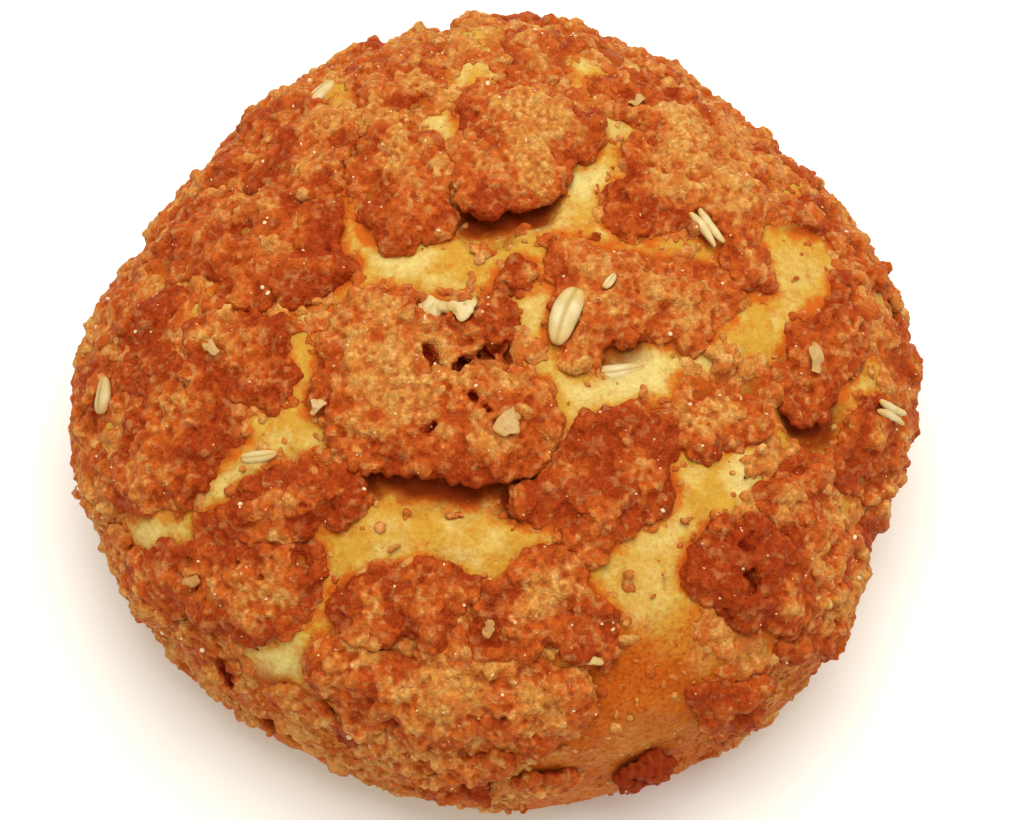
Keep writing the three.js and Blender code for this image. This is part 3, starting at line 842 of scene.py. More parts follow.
# The grains that the photograph shows.
GRAINS = (
    OatGrain("streusel_right_slab", 8.0, 0.7, 7.6, 3.4, 250),
    OatGrain("streusel_right_slab", 13.0, 4.6, 2.4, 1.0, 56),
    OatGrain("streusel_back_right", 24.5, 13.0, 5.4, 2.0, -58, OatForm.SPLIT),
    OatGrain("streusel_crown", -7.2, 2.0, 4.4, 2.2, -10, OatForm.FLAKE),
    OatGrain("streusel_crown", -3.7, 1.2, 3.6, 2.4, 30, OatForm.FLAKE),
    OatGrain("streusel_crown", 1.6, -12.7, 3.4, 2.6, 59, OatForm.FLAKE, 0.6),
    OatGrain("streusel_crown", -19.9, -9.9, 2.6, 1.2, 57, OatForm.FLAKE, 0.4),
    OatGrain("streusel_front_slab_right", -0.9, -34.5, 2.6, 1.2, 76, OatForm.FLAKE, 0.9),
    OatGrain("streusel_front_slab_right", 10.5, -37.0, 1.7, 1.1, 6, OatForm.FLAKE, 0.3),
    OatGrain("streusel_right", 36.1, -2.4, 3.4, 1.8, 92, OatForm.FLAKE, 0.6),
    OatGrain("streusel_right_rim", 45.6, -5.5, 5.0, 1.8, -14, OatForm.SPLIT),
    OatGrain("streusel_left_rim", -45.5, -4.2, 4.6, 2.4, 73, OatForm.WHOLE, 0.3),
    OatGrain("streusel_front_left", -33.4, -26.7, 2.6, 1.4, 6, OatForm.FLAKE, 1.0),
    OatGrain("streusel_left_slab", -32.7, -2.0, 2.6, 1.2, -21, OatForm.FLAKE, 0.6),
    OatGrain("streusel_back_right_rim", 16.5, 31.1, 2.6, 1.6, 54, OatForm.FLAKE, 0.6),
    OatGrain("dough", 13.6, -5.6, 7.6, 2.0, 10),
    OatGrain("dough", -27.2, -14.9, 4.4, 1.5, 6),
    OatGrain("dough", -21.4, 34.8, 4.6, 2.4, 47),
)

# Clumps by the tone that they show.
TONES = {
    Tone.OCHRE: (
        "crown", "back_left_slab", "back_right", "back_ridge", "back_left_rim", "back_mid_rim",
        "back_right_rim", "right_back", "mid_right", "right_low", "front_side",
    ),
    Tone.RED: (
        "right_front", "front_slab_left", "front_left_slab", "left_dark", "left_back_lump", "nugget",
        "front_right", "front_right_low", "front_right_edge", "left_slab", "left_back",
    ),
    Tone.DARK: ("front_belly", "front_left"),
    Tone.CHARRED: ("front_nub",),
    Tone.PALE: (
        "front_right_rim", "right_rim_back", "front_side_left", "back_left_top", "back_right_top",
        "right_slab", "back_slab", "front_slab_low", "front_left_side",
    ),
}

# Clumps that stand free on the dough, with what sets them apart.
LONERS = {"streusel_nugget": {"meets": False, "sink": -0.8, "fringe": -0.6}}

# Spots where the streusel browned more. The three under the crown's front edge, at y of -16.5 to -17.5, are
# painted shade of its overhang.
BROWNED_AND_SHADED_SPOTS = patches(
    (-24.1, 6.9, 4.0, 0.38), (-22.2, 11.7, 3.4, 0.3), (-41.0, 3.5, 4.5, 0.3), (-41.7, -4.1, 4.5, 0.3),
    (-34.7, -13.9, 4.5, 0.34), (-11.6, 32.3, 3.0, 0.3), (-4.1, 28.3, 3.0, 0.34), (0.4, 15.7, 6.0, 0.38),
    (11.0, 44.9, 4.5, 0.26), (10.6, 27.3, 3.5, 0.22), (15.3, -13.5, 4.5, 0.3), (16.2, 15.5, 4.0, 0.26),
    (28.4, -9.3, 3.5, 0.22), (29.4, -29.1, 6.5, 0.5), (33.0, -24.0, 4.0, 0.36),
    (-17.4, -31.9, 4.5, 0.19), (26.6, -43.0, 4.5, 0.22), (-25.1, -17.4, 4.5, 0.22),
    (-17.4, -20.3, 3.5, 0.26), (5.0, -20.4, 3.5, 0.22), (-9.5, -16.5, 4.5, 0.34),
    (-3.0, -17.5, 4.5, 0.34), (2.5, -16.5, 4.5, 0.34),
)

# Deep gaps that hardly any light gets into.
CAVES = patches(
    (-13.0, -17.6, 4.0, 1.0), (-9.0, -19.0, 5.0, 1.0), (-4.0, -19.6, 5.0, 1.0), (1.5, -19.5, 5.0, 1.0),
    (-1.0, 14.5, 6.0, 1.0), (3.5, 16.0, 5.0, 1.0), (-31.0, 3.5, 4.0, 1.0), (37.0, -9.0, 5.0, 1.0),
    (14.0, -3.0, 5.0, 0.7), (-24.0, 14.0, 4.0, 0.8), (-2.0, -4.2, 5.0, 1.0), (-7.4, -4.4, 4.0, 1.0),
    (-1.8, -10.6, 3.5, 1.0), (-7.8, -13.3, 3.5, 1.0),
)


@dataclass(frozen=True)
class Hollow:
    """A hole in the side of the bun: its middle, its radius and its depth."""

    middle: tuple[float, float, float]
    radius: float
    depth: float


@dataclass(frozen=True)
class Crack:
    """A crack or hole in the top of a clump: its bends in plan, its half width and its depth."""

    on: str
    bends: tuple[tuple[float, float], ...]
    width: float
    depth: float


# The cracks and holes that the photograph shows.
CRACKS = (
    Crack("streusel_crown", ((-4.8, -6.0), (-3.3, -4.5), (-1.7, -3.8), (1.4, -3.0)), 0.9, 2.2),
    Crack("streusel_crown", ((-8.0, -3.4), (-7.3, -4.1), (-6.9, -5.3)), 0.8, 1.6),
    Crack("streusel_crown", ((-2.9, -9.6), (-2.4, -10.0)), 0.6, 1.6),
    Crack("streusel_crown", ((-1.3, -10.8), (-0.9, -11.5)), 0.55, 1.6),
    Crack("streusel_crown", ((-8.3, -13.7), (-7.6, -13.3), (-7.2, -12.7)), 0.6, 1.6),
    Crack("streusel_front_left_side", ((-32.8, -36.0), (-31.6, -37.8)), 1.1, 2.0),
    Crack("streusel_front_side", ((-20.2, -44.4), (-18.4, -45.3), (-16.8, -45.8)), 0.9, 2.0),
)


def away_from_line(points: np.ndarray, bends: tuple[tuple[float, float], ...]) -> np.ndarray:
    """Measures the distance of points in plan from a bent line.

    Args:
        points: Places in millimetres, one a row.
        bends: The line's bends in plan.

    Returns:
        One distance for each point.
    """
    plan = points[:, :2]
    nearest = np.full(len(points), np.inf)
    for first, last in itertools.pairwise(np.array(bends)):
        along = np.clip((plan - first) @ (last - first) / ((last - first) @ (last - first)), 0, 1)
        nearest = np.minimum(nearest, np.linalg.norm(plan - first - along[:, None] * (last - first), axis=1))
    return nearest


@dataclass
class DoughBun:
    """The dough under the streusel, swollen a little where it rose between the clumps.

    The pairs in wrinkles and butter_rags are the width of a bump and its height.
    """

    node: str = "dough"
    seed: int = 5
    weld: float = 0.01
    rounding: int = 2
    voxel: float = 0.5
    kept: float = 0.55
    smoothing: int = 8
    lift: float = 0.35
    lift_rounds: int = 20
    foot_heights: tuple[float, float] = (0.0, 2.0)
    swell: tuple[float, float] = (1.9, 0.3)
    swell_reach: tuple[float, float] = (0.4, 4.0)
    highest: float = 12.0
    swell_heights: tuple[float, float] = (17.0, 27.0)
    bulge: float = 0.4
    bulge_side: tuple[float, float] = (-0.6, -0.8)
    bulge_reach: tuple[float, float] = (28.0, 52.0)
    wrinkles: tuple[tuple[float, float], ...] = ((3.2, 0.25), (1.4, 0.28))
    cloud_size: float = 5.0
    butter_least: float = 0.24
    butter_reach: tuple[float, float] = (0.2, 2.0)
    butter_rags: tuple[tuple[float, float], ...] = ((3.2, 0.7), (1.4, 0.5))
    # Painted shade on the dough under the clumps, in caves and in the side's holes.
    cover_height: float = 6.0
    cover_shade: float = 0.5
    cover_rounds: int = 2
    cave_shade: float = 0.85
    # Painted shade in caves: dark near the clumps and orange a little further out.
    cave_reach: tuple[float, float] = (2.0, 3.4)
    cave_tint_reach: tuple[float, float] = (2.4, 4.6)
    hole_range: tuple[float, float] = (0.2, 0.8)
    cream_reach: tuple[float, float] = (0.5, 2.2)
    cream_cleans: float = 0.6
    cream_foot: float = 0.3
    cream_cloud: float = 0.2
    pale_share: float = 0.5
    pale_size: float = 2.6
    pale_range: tuple[float, float] = (-0.1, 0.5)
    crust_top: tuple[float, float] = (20.0, 27.0)
    crust_foot: tuple[float, float] = (1.5, 4.5)
    crust_cloud: float = 0.25
    crust_patches: tuple[Patch, ...] = patches(
        (16.5, -42.5, 10.5, 1.0), (20.4, -44.0, 10.5, 1.0), (13.2, -44.9, 10.0, 1.0),
        (24.5, -37.0, 7.0, 0.8),
    )
    # Pale patches of thin skin; the one at 29.3, -17.4 is a painted highlight.
    cream_and_highlight_patches: tuple[Patch, ...] = patches(
        (9.9, -7.0, 4.5, 1.0), (13.3, -7.3, 5.0, 1.0), (17.1, -6.1, 5.0, 1.0), (10.7, 20.1, 4.5, 0.9),
        (14.2, 26.4, 4.5, 0.7), (-11.0, 9.8, 5.5, 0.9), (4.1, 3.1, 4.0, 0.6), (17.8, -23.3, 6.0, 0.6),
        (16.4, -31.4, 6.0, 0.4), (29.3, -17.4, 4.5, 1.0), (35.4, 9.9, 5.0, 0.3),
        (-25.5, -36.7, 5.0, 0.8), (-30.9, -17.9, 3.5, 0.8), (-40.3, -21.9, 6.0, 0.7),
        (-7.1, 27.5, 3.0, 0.7), (11.1, -48.2, 8.0, 0.4),
    )
    hollows: tuple[Hollow, ...] = (
        Hollow((-27.6, -40.2, 11.0), 2.4, 2.4),
        Hollow((-24.6, -42.2, 10.0), 2.0, 2.0),
    )
    solid: Surface = field(init=False)
    under: BVHTree = field(init=False)
    top: BVHTree = field(init=False)
    skin: Surface = field(init=False)
    reach: np.ndarray = field(init=False)
    covered: np.ndarray = field(init=False)

    def __post_init__(self) -> None:
        """Reads the solid from the frame."""
        self.solid = Surface.of_node(self.node)
        self.under = self.solid.tree()

    def drop(self, x: float, y: float) -> tuple[np.ndarray, np.ndarray]:
        """Finds the solid dough under a place in plan.

        Args:
            x: Place to the right.
            y: Place to the back.

        Returns:
            The point on the dough and the outward direction there.
        """
        above = CAD_BOX[1].z / MM + 1
        point, normal, _, _ = self.under.ray_cast(Vector((x, y, above)), Vector((0, 0, -1)))
        return np.array(point), np.array(normal)

    def laid(self, x: float, y: float, on: BVHTree) -> tuple[np.ndarray, np.ndarray]:
        """Finds where something over a place in plan lies.

        Args:
            x: Place to the right, on the solid dough.
            y: Place to the back, on the solid dough.
            on: Search tree of what it lies on.

        Returns:
            The point that it lies on and the dough's outward direction.
        """
        foot, outward = self.drop(x, y)
        hit = on.ray_cast(Vector(foot + self.highest * outward), Vector(-outward))[0]
        return np.array(hit), outward

    def over(self, points: np.ndarray) -> tuple[np.ndarray, np.ndarray]:
        """Measures how points lie over the dough.

        Args:
            points: Places near the dough.

        Returns:
            Each point's height over the dough, and the dough's outward direction below it.
        """
        found = [self.under.find_nearest(Vector(point))[:2] for point in points.tolist()]
        nearest = np.array([tuple(place) for place, _ in found])
        outward = np.array([tuple(normal) for _, normal in found])
        return np.einsum("ij,ij->i", points - nearest, outward), outward

    def hollowed(self, points: np.ndarray) -> np.ndarray:
        """Works out how deep the holes in the side go at points.

        Args:
            points: Places in millimetres, one a row.

        Returns:
            One depth for each point, 0 outside the holes.
        """
        depths = np.zeros(len(points))
        for hollow in self.hollows:
            away = np.linalg.norm(points - np.array(hollow.middle), axis=1)
            depths = np.maximum(depths, hollow.depth * fading(away, hollow.radius))
        return depths

    def build(self, clumps: BVHTree, finish: BakedDough) -> bpy.types.Object:
        """Builds and dresses the dough.

        Args:
            clumps: Search tree of all streusel solids.
            finish: What it is dressed in.

        Returns:
            The piece that stands for the dough.
        """
        skin = self.solid.with_modifiers([
            ("WELD", {"merge_threshold": self.weld}),
            ("SUBSURF", {"levels": self.rounding, "render_levels": self.rounding}),
            ("REMESH", {"mode": "VOXEL", "voxel_size": self.voxel}),
        ])
        skin.points = skin.spread(skin.points, self.smoothing)
        foot = smoothstep(skin.points[:, 2], *self.foot_heights)
        shrunk = skin.spread(self.over(skin.points)[0], self.lift_rounds)
        skin.points += skin.normals() * ((self.lift - shrunk) * foot)[:, None]
        height = skin.points[:, 2]
        edge, middle = self.swell
        swell = edge * (1 - shown(CAVES, skin.points))
        swell += middle * smoothstep(gaps_to(clumps, skin.points), *self.swell_reach)
        bulge = self.bulge * smoothstep(skin.points[:, :2] @ np.array(self.bulge_side), *self.bulge_reach)
        swell *= np.maximum(smoothstep(height, *self.swell_heights), bulge)
        for size, depth in self.wrinkles:
            swell += depth * value_noise(skin.points, size, self.seed)
        holes = self.hollowed(skin.points)
        skin.points += skin.normals() * (swell * foot - holes)[:, None]
        skin.points[:, 2] = np.maximum(skin.points[:, 2], 0)
        skin = skin.thinned(self.kept)
        rays = zip(skin.points.tolist(), skin.normals().tolist())
        hits = [clumps.ray_cast(Vector(p), Vector(n), self.cover_height)[0] is not None for p, n in rays]
        self.skin = skin
        self.reach = gaps_to(clumps, skin.points)
        self.covered = np.array(hits)
        self.top = skin.tree()
        piece = skin.piece("dough_baked", finish.material(), self.masks())
        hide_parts(self.node)
        return piece

    def masks(self) -> dict[str, np.ndarray]:
        """Works out where the dough is pale, buttered and crusted, and where highlight and shade are painted.

        Returns:
            The masks that the finish reads.
        """
        height = self.skin.points[:, 2]
        cloud = value_noise(self.skin.points, self.cloud_size, self.seed + 6)
        # One pale patch is a painted highlight.
        cream_and_highlight = shown(self.cream_and_highlight_patches, self.skin.points)
        clean = 1 - self.cream_cleans * cream_and_highlight
        pale = smoothstep(value_noise(self.skin.points, self.pale_size, self.seed + 7), *self.pale_range)
        cream_and_highlight = np.maximum(cream_and_highlight, self.pale_share * pale)
        open_dough = smoothstep(self.reach, *self.cream_reach)
        foot = 1 - smoothstep(height, *self.crust_foot)
        ragged = self.reach.copy()
        for size, width in self.butter_rags:
            ragged += width * value_noise(self.skin.points, size, self.seed + 8)
        # Painted shade in caves: dark near the clumps and orange a little further out, joined to the butter
        # stain.
        caves = shown(CAVES, self.skin.points)
        sunless = caves * (1 - smoothstep(ragged, *self.cave_reach))
        cave_shade_tint = caves * (1 - smoothstep(ragged, *self.cave_tint_reach))
        stain_and_shade = np.maximum(1 - smoothstep(ragged, *self.butter_reach), cave_shade_tint)
        butter = self.butter_least * (1 - cream_and_highlight * open_dough) + (1 - self.butter_least) * stain_and_shade * clean
        # Painted shade in the side's holes.
        sunless = np.maximum(sunless, smoothstep(self.hollowed(self.skin.points), *self.hole_range))
        crust = (1 - smoothstep(height, *self.crust_top)) * (1 - foot)
        crust = np.maximum(crust, shown(self.crust_patches, self.skin.points))
        cream_and_highlight_share = np.maximum(cream_and_highlight * open_dough, self.cream_foot * foot) + self.cream_cloud * cloud
        # Painted shade under the clumps.
        under = self.skin.spread(self.covered.astype(float), self.cover_rounds)
        return {
            "cream_and_highlight": np.clip(cream_and_highlight_share, 0, 1),
            "butter": np.clip(butter, 0, 1),
            "crust": np.clip(crust * (1 - self.crust_cloud + self.crust_cloud * cloud), 0, 1),
            "covered": np.maximum(self.cover_shade * under, self.cave_shade * sunless),
        }


@dataclass
class StreuselClump:
    """One clump of streusel: a lumpy core covered with fused grains of crumb.

    The pairs in lumps, crags, roughness and clouds are the width of a bump and its height. A facing
    is 1 where the clump turns straight away from the dough, 0 at its sides and -1 on its underside.
    """

    node: str
    seed: int
    tone: Tone
    core_voxel: float = 0.42
    core_smoothing: int = 4
    facing_rounds: int = 2
    lumps: tuple[tuple[float, float], ...] = ((3.8, 0.9), (1.7, 0.6))
    fringe: float = 0.45
    side_facings: tuple[float, float] = (0.55, 0.95)
    growth_rounds: int = 3
    sink: float = 0.45
    sink_facings: tuple[float, float] = (0.0, 0.5)
    deepest: float = 2.4
    under_facings: tuple[float, float] = (-0.4, 0.2)
    crags: tuple[tuple[float, float], ...] = ((2.6, 1.0), (1.3, 0.6))
    meets: bool = True
    meeting: tuple[float, float] = (1.6, 2.6)
    overlap: float = 0.25
    bed_depth: float = 0.5
    crack_facing: float = 0.2
    crack_rag: float = 0.4
    crack_bare: float = 0.5
    crack_shade: tuple[float, float] = (0.3, 1.0)
    edge_width: float = 4.4
    edge_share: float = 0.35
    edge_facings: tuple[float, float] = (0.45, 0.6)
    edge_free: float = 0.4
    edge_rag: float = 0.3
    edge_rag_size: float = 2.4
    edge_core: float = 0.1
    edge_toast: float = 0.6
    seam_radius: float = 0.75
    seam_per_mm2: float = 0.9
    seam_facings: tuple[float, float] = (0.0, 0.85)
    seam_sunk: float = 0.2
    pit_depth: float = 0.7
    pit_size: float = 1.3
    pit_range: tuple[float, float] = (0.75, 0.95)
    fine_pits: tuple[float, float] = (0.5, 0.4)
    # Each kind of crumb has a radius, a number on a square millimetre, how many times as many lie at
    # the edge, and the share of its radius that is sunk in.
    crumb_sizes: tuple[tuple[float, float, float, float], ...] = (
        (0.36, 2.1, 1.0, 0.25),
        (0.6, 0.3, 2.5, 0.35),
        (0.95, 0.05, 4.0, 0.5),
    )
    crumb_facing: float = -0.45
    crumb_spread: float = 0.25
    crumb_scales: tuple[float, float] = (0.7, 1.3)
    voxel: float = 0.25
    kept: float = 0.5
    roughness: tuple[float, float] = (0.55, 0.14)
    # Painted shade: hollows of the skin darken, and broad dips take more toast while raised parts take less.
    hollow_shade_rounds: int = 8
    hollow_shade_full: float = 0.16
    dip_rounds: int = 45
    dip_full: float = 0.5
    dip_shade: float = 0.35
    dip_least: float = -0.6
    clouds: tuple[tuple[float, float], ...] = ((5.0, 0.42), (2.0, 0.4))
    # Painted shade on undersides that face the dough, and on sides in caves.
    underside_shade_facings: tuple[float, float] = (-0.4, -0.05)
    cave_facings: tuple[float, float] = (0.1, 0.6)
    toast_evens: float = 0.5
    lying: list[tuple[OatGrain, np.ndarray]] = field(init=False)
    skin: Surface = field(init=False)
    upward: np.ndarray = field(init=False)

    def core(self, dough: DoughBun, others: BVHTree) -> tuple[Surface, np.ndarray, np.ndarray]:
        """Makes the core from the solid, grown to meet its neighbours, with lumps, pits and cracks.

        Args:
            dough: The dough below.
            others: Search tree of the other clumps' solids.

        Returns:
            The core and, for each of its points, how far it faces away from the dough and how far
            it stands free of other clumps.
        """
        core = Surface.of_node(self.node).fused(self.core_voxel)
        core.points = core.spread(core.points, self.core_smoothing)
        normals = core.normals()
        _, outward = dough.over(core.points)
        facing = np.einsum("ij,ij->i", core.spread(normals, self.facing_rounds), outward)
        gap = gaps_to(others, core.points)
        alone = smoothstep(gap, *self.meeting) if self.meets else np.ones(len(gap))
        ragged = sum(width * value_noise(core.points, size, self.seed + 1) for size, width in self.crags)
        growth = (self.fringe + ragged) * alone + (gap / 2 + self.overlap) * (1 - alone)
        sideways = 1 - smoothstep(np.abs(facing), *self.side_facings)
        move = core.spread(growth * sideways, self.growth_rounds)
        for size, height in self.lumps:
            move += height * value_noise(core.points, size, self.seed)
        finer, weight = self.fine_pits
        broken = value_noise(core.points, self.pit_size, self.seed + 2)
        broken += weight * value_noise(core.points, finer * self.pit_size, self.seed + 7)
        move -= self.pit_depth * smoothstep(broken, *self.pit_range)
        move -= self.cracked(core.points) * (facing > self.crack_facing)
        move = np.where(self.beds(core.points) & (facing > 0), -self.bed_depth, move)
        move = np.maximum(move - self.sink * smoothstep(facing, *self.sink_facings), -self.deepest)
        core.points += normals * (move * smoothstep(facing, *self.under_facings))[:, None]
        return core, facing, alone

    def cracked(self, points: np.ndarray) -> np.ndarray:
        """Works out how deep the cracks in this clump go at points.

        Args:
            points: Places in millimetres, one a row.

        Returns:
            One depth for each point, 0 outside the cracks.
        """
        depths = np.zeros(len(points))
        for crack in (crack for crack in CRACKS if crack.on == self.node):
            away = away_from_line(points, crack.bends)
            away += self.crack_rag * value_noise(points, self.pit_size, self.seed + 2)
            depths = np.maximum(depths, crack.depth * fading(away, crack.width))
        return depths

    def beds(self, points: np.ndarray) -> np.ndarray:
        """Finds the points under the oat grains on this clump.

        Args:
            points: Places in millimetres, one a row.

        Returns:
            True for each point under a grain.
        """
        under = [grain.covers(points, middle) for grain, middle in self.lying]
        return np.any([np.zeros(len(points), bool), *under], axis=0)

    def crumbs(
        self,
        core: Surface,
        facing: np.ndarray,
        edge: np.ndarray,
        alone: np.ndarray,
        rng: np.random.Generator,
    ) -> tuple[Surface, Surface]:
        """Covers the core with grains of crumb.

        Args:
            core: The clump's core.
            facing: How far each of its points faces away from the dough.
            edge: How near each of its points is to the clump's edge.
            alone: How far each of its points stands free of other clumps.
            rng: Seeded source of the draws.

        Returns:
            All grains as one surface, and a surface without faces that holds their middles.
        """
        shape = Surface.lump()
        normals = core.normals()
        bare = self.beds(core.points) | (self.cracked(core.points) > self.crack_bare)
        parts, middles = [], []
        least, most = self.seam_facings
        seam = self.seam_per_mm2 * (1 - alone) * ((facing > least) & (facing < most))
        kinds = [
            (radius, density * (1 + (at_edge - 1) * edge), sunk)
            for radius, density, at_edge, sunk in self.crumb_sizes
        ]
        for radius, density, sunk in [*kinds, (self.seam_radius, seam, self.seam_sunk)]:
            share = density * self.core_voxel ** 2
            share[(facing < self.crumb_facing) | bare] = 0
            chosen = np.flatnonzero(rng.random(len(facing)) < share)
            sizes = radius * np.exp(self.crumb_spread * rng.normal(size=len(chosen)))
            depth = sizes * (sunk + self.crumb_spread * rng.normal(size=len(chosen)))
            places = core.points[chosen] - normals[chosen] * depth[:, None]
            scales = sizes[:, None] * rng.uniform(*self.crumb_scales, (len(chosen), 3))
            parts.append(shape.scattered(places, scales, random_turns(rng, len(chosen))))
            middles.append(places)
        return Surface.joined(parts), Surface.of_points(np.concatenate(middles))

    def rim(self, core: Surface, facing: np.ndarray, alone: np.ndarray) -> np.ndarray:
        """Works out how near the core's points are to the clump's free edge.

        Args:
            core: The clump's core.
            facing: How far each of its points faces away from the dough.
            alone: How far each of its points stands free of other clumps.

        Returns:
            1 at the edge, down to 0 in the middle, for each point.
        """
        side, top = self.edge_facings
        sides = core.points[(facing < side) & (alone > self.edge_free)]
        if not len(sides):
            return np.zeros(len(facing))
        tops = (facing > top).sum()
        width = min(self.edge_width, self.edge_share * math.sqrt(tops) * self.core_voxel)
        away = np.linalg.norm(core.points - sides[Surface.of_points(sides).nearest(core.points)], axis=1)
        away += self.edge_rag * width * value_noise(core.points, self.edge_rag_size, self.seed + 5)
        return 1 - smoothstep(away, self.edge_core * width, width)

    def build(self, dough: DoughBun, others: BVHTree, finish: BakedStreusel) -> bpy.types.Object:
        """Builds and dresses the clump.

        Args:
            dough: The dough below.
            others: Search tree of the other clumps' solids.
            finish: What it is dressed in.

        Returns:
            The piece that stands for the clump.
        """
        rng = np.random.default_rng(self.seed)
        bed = Surface.of_node(self.node).tree()
        carried = [grain for grain in GRAINS if grain.on == self.node]
        self.lying = [(grain, dough.laid(grain.x, grain.y, bed)[0]) for grain in carried]
        core, facing, alone = self.core(dough, others)
        edge = self.rim(core, facing, alone)
        crumbs, middles = self.crumbs(core, facing, edge, alone, rng)
        full = Surface.joined([core.triangles(), crumbs]).fused(self.voxel)
        size, depth = self.roughness
        full.points += full.normals() * (depth * value_noise(full.points, size, self.seed + 6))[:, None]
        self.skin = full.thinned(self.kept)
        below = core.nearest(self.skin.points)
        self.upward = facing[below]
        tint = rng.random(len(middles.points))[middles.nearest(self.skin.points)]
        masks = self.masks(full, edge[below], tint)
        piece = self.skin.piece(self.node.replace("streusel", "crumble"), finish.material(), masks)
        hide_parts(self.node)
        return piece

    def masks(self, full: Surface, edge: np.ndarray, tint: np.ndarray) -> dict[str, np.ndarray]:
        """Works out where the clump is browned and where shade is painted on it.

        Args:
            full: The skin with all its faces.
            edge: How near each point of the thinned skin is to the clump's edge.
            tint: The tone of the crumb at each point of the thinned skin.

        Returns:
            The masks that the finish reads.
        """
        points = self.skin.points
        normals = full.normals()
        beside = full.nearest(points)
        # Painted shade in hollows between the grains.
        shade_and_char = full.hollows(normals, self.hollow_shade_rounds)[beside] / self.hollow_shade_full
        dip = full.hollows(normals, self.dip_rounds)[beside] / self.dip_full
        # Painted shade: broad dips take more toast and raised parts less.
        cloud = self.dip_shade * np.clip(dip, self.dip_least, 1)
        for number, (size, share) in enumerate(self.clouds):
            cloud += share * value_noise(points, size, self.seed + 3 + number)
        # Browning, with painted shade from the dips and from the spots under the crown's front edge.
        browned = self.tone.value + self.edge_toast * edge + shown(BROWNED_AND_SHADED_SPOTS, points) + cloud
        toast = np.clip(browned, 0, 1)
        charred_and_shaded = np.clip(browned - 1, 0, 1)
        # Painted shade on undersides, on sides in caves and in cracks; charring past full toast adds to it.
        underside_shade = 1 - smoothstep(self.upward, *self.underside_shade_facings)
        sunless = shown(CAVES, points) * (1 - smoothstep(self.upward, *self.cave_facings))
        sunless = np.maximum(sunless, smoothstep(self.cracked(points), *self.crack_shade))
        dark = np.maximum(np.maximum(underside_shade, charred_and_shaded), sunless)
        return {
            "toast": toast,
            "tint": 0.5 + (tint - 0.5) * (1 - self.toast_evens * toast),
            "shade_and_char": np.clip(shade_and_char, 0, 1) + dark,
        }


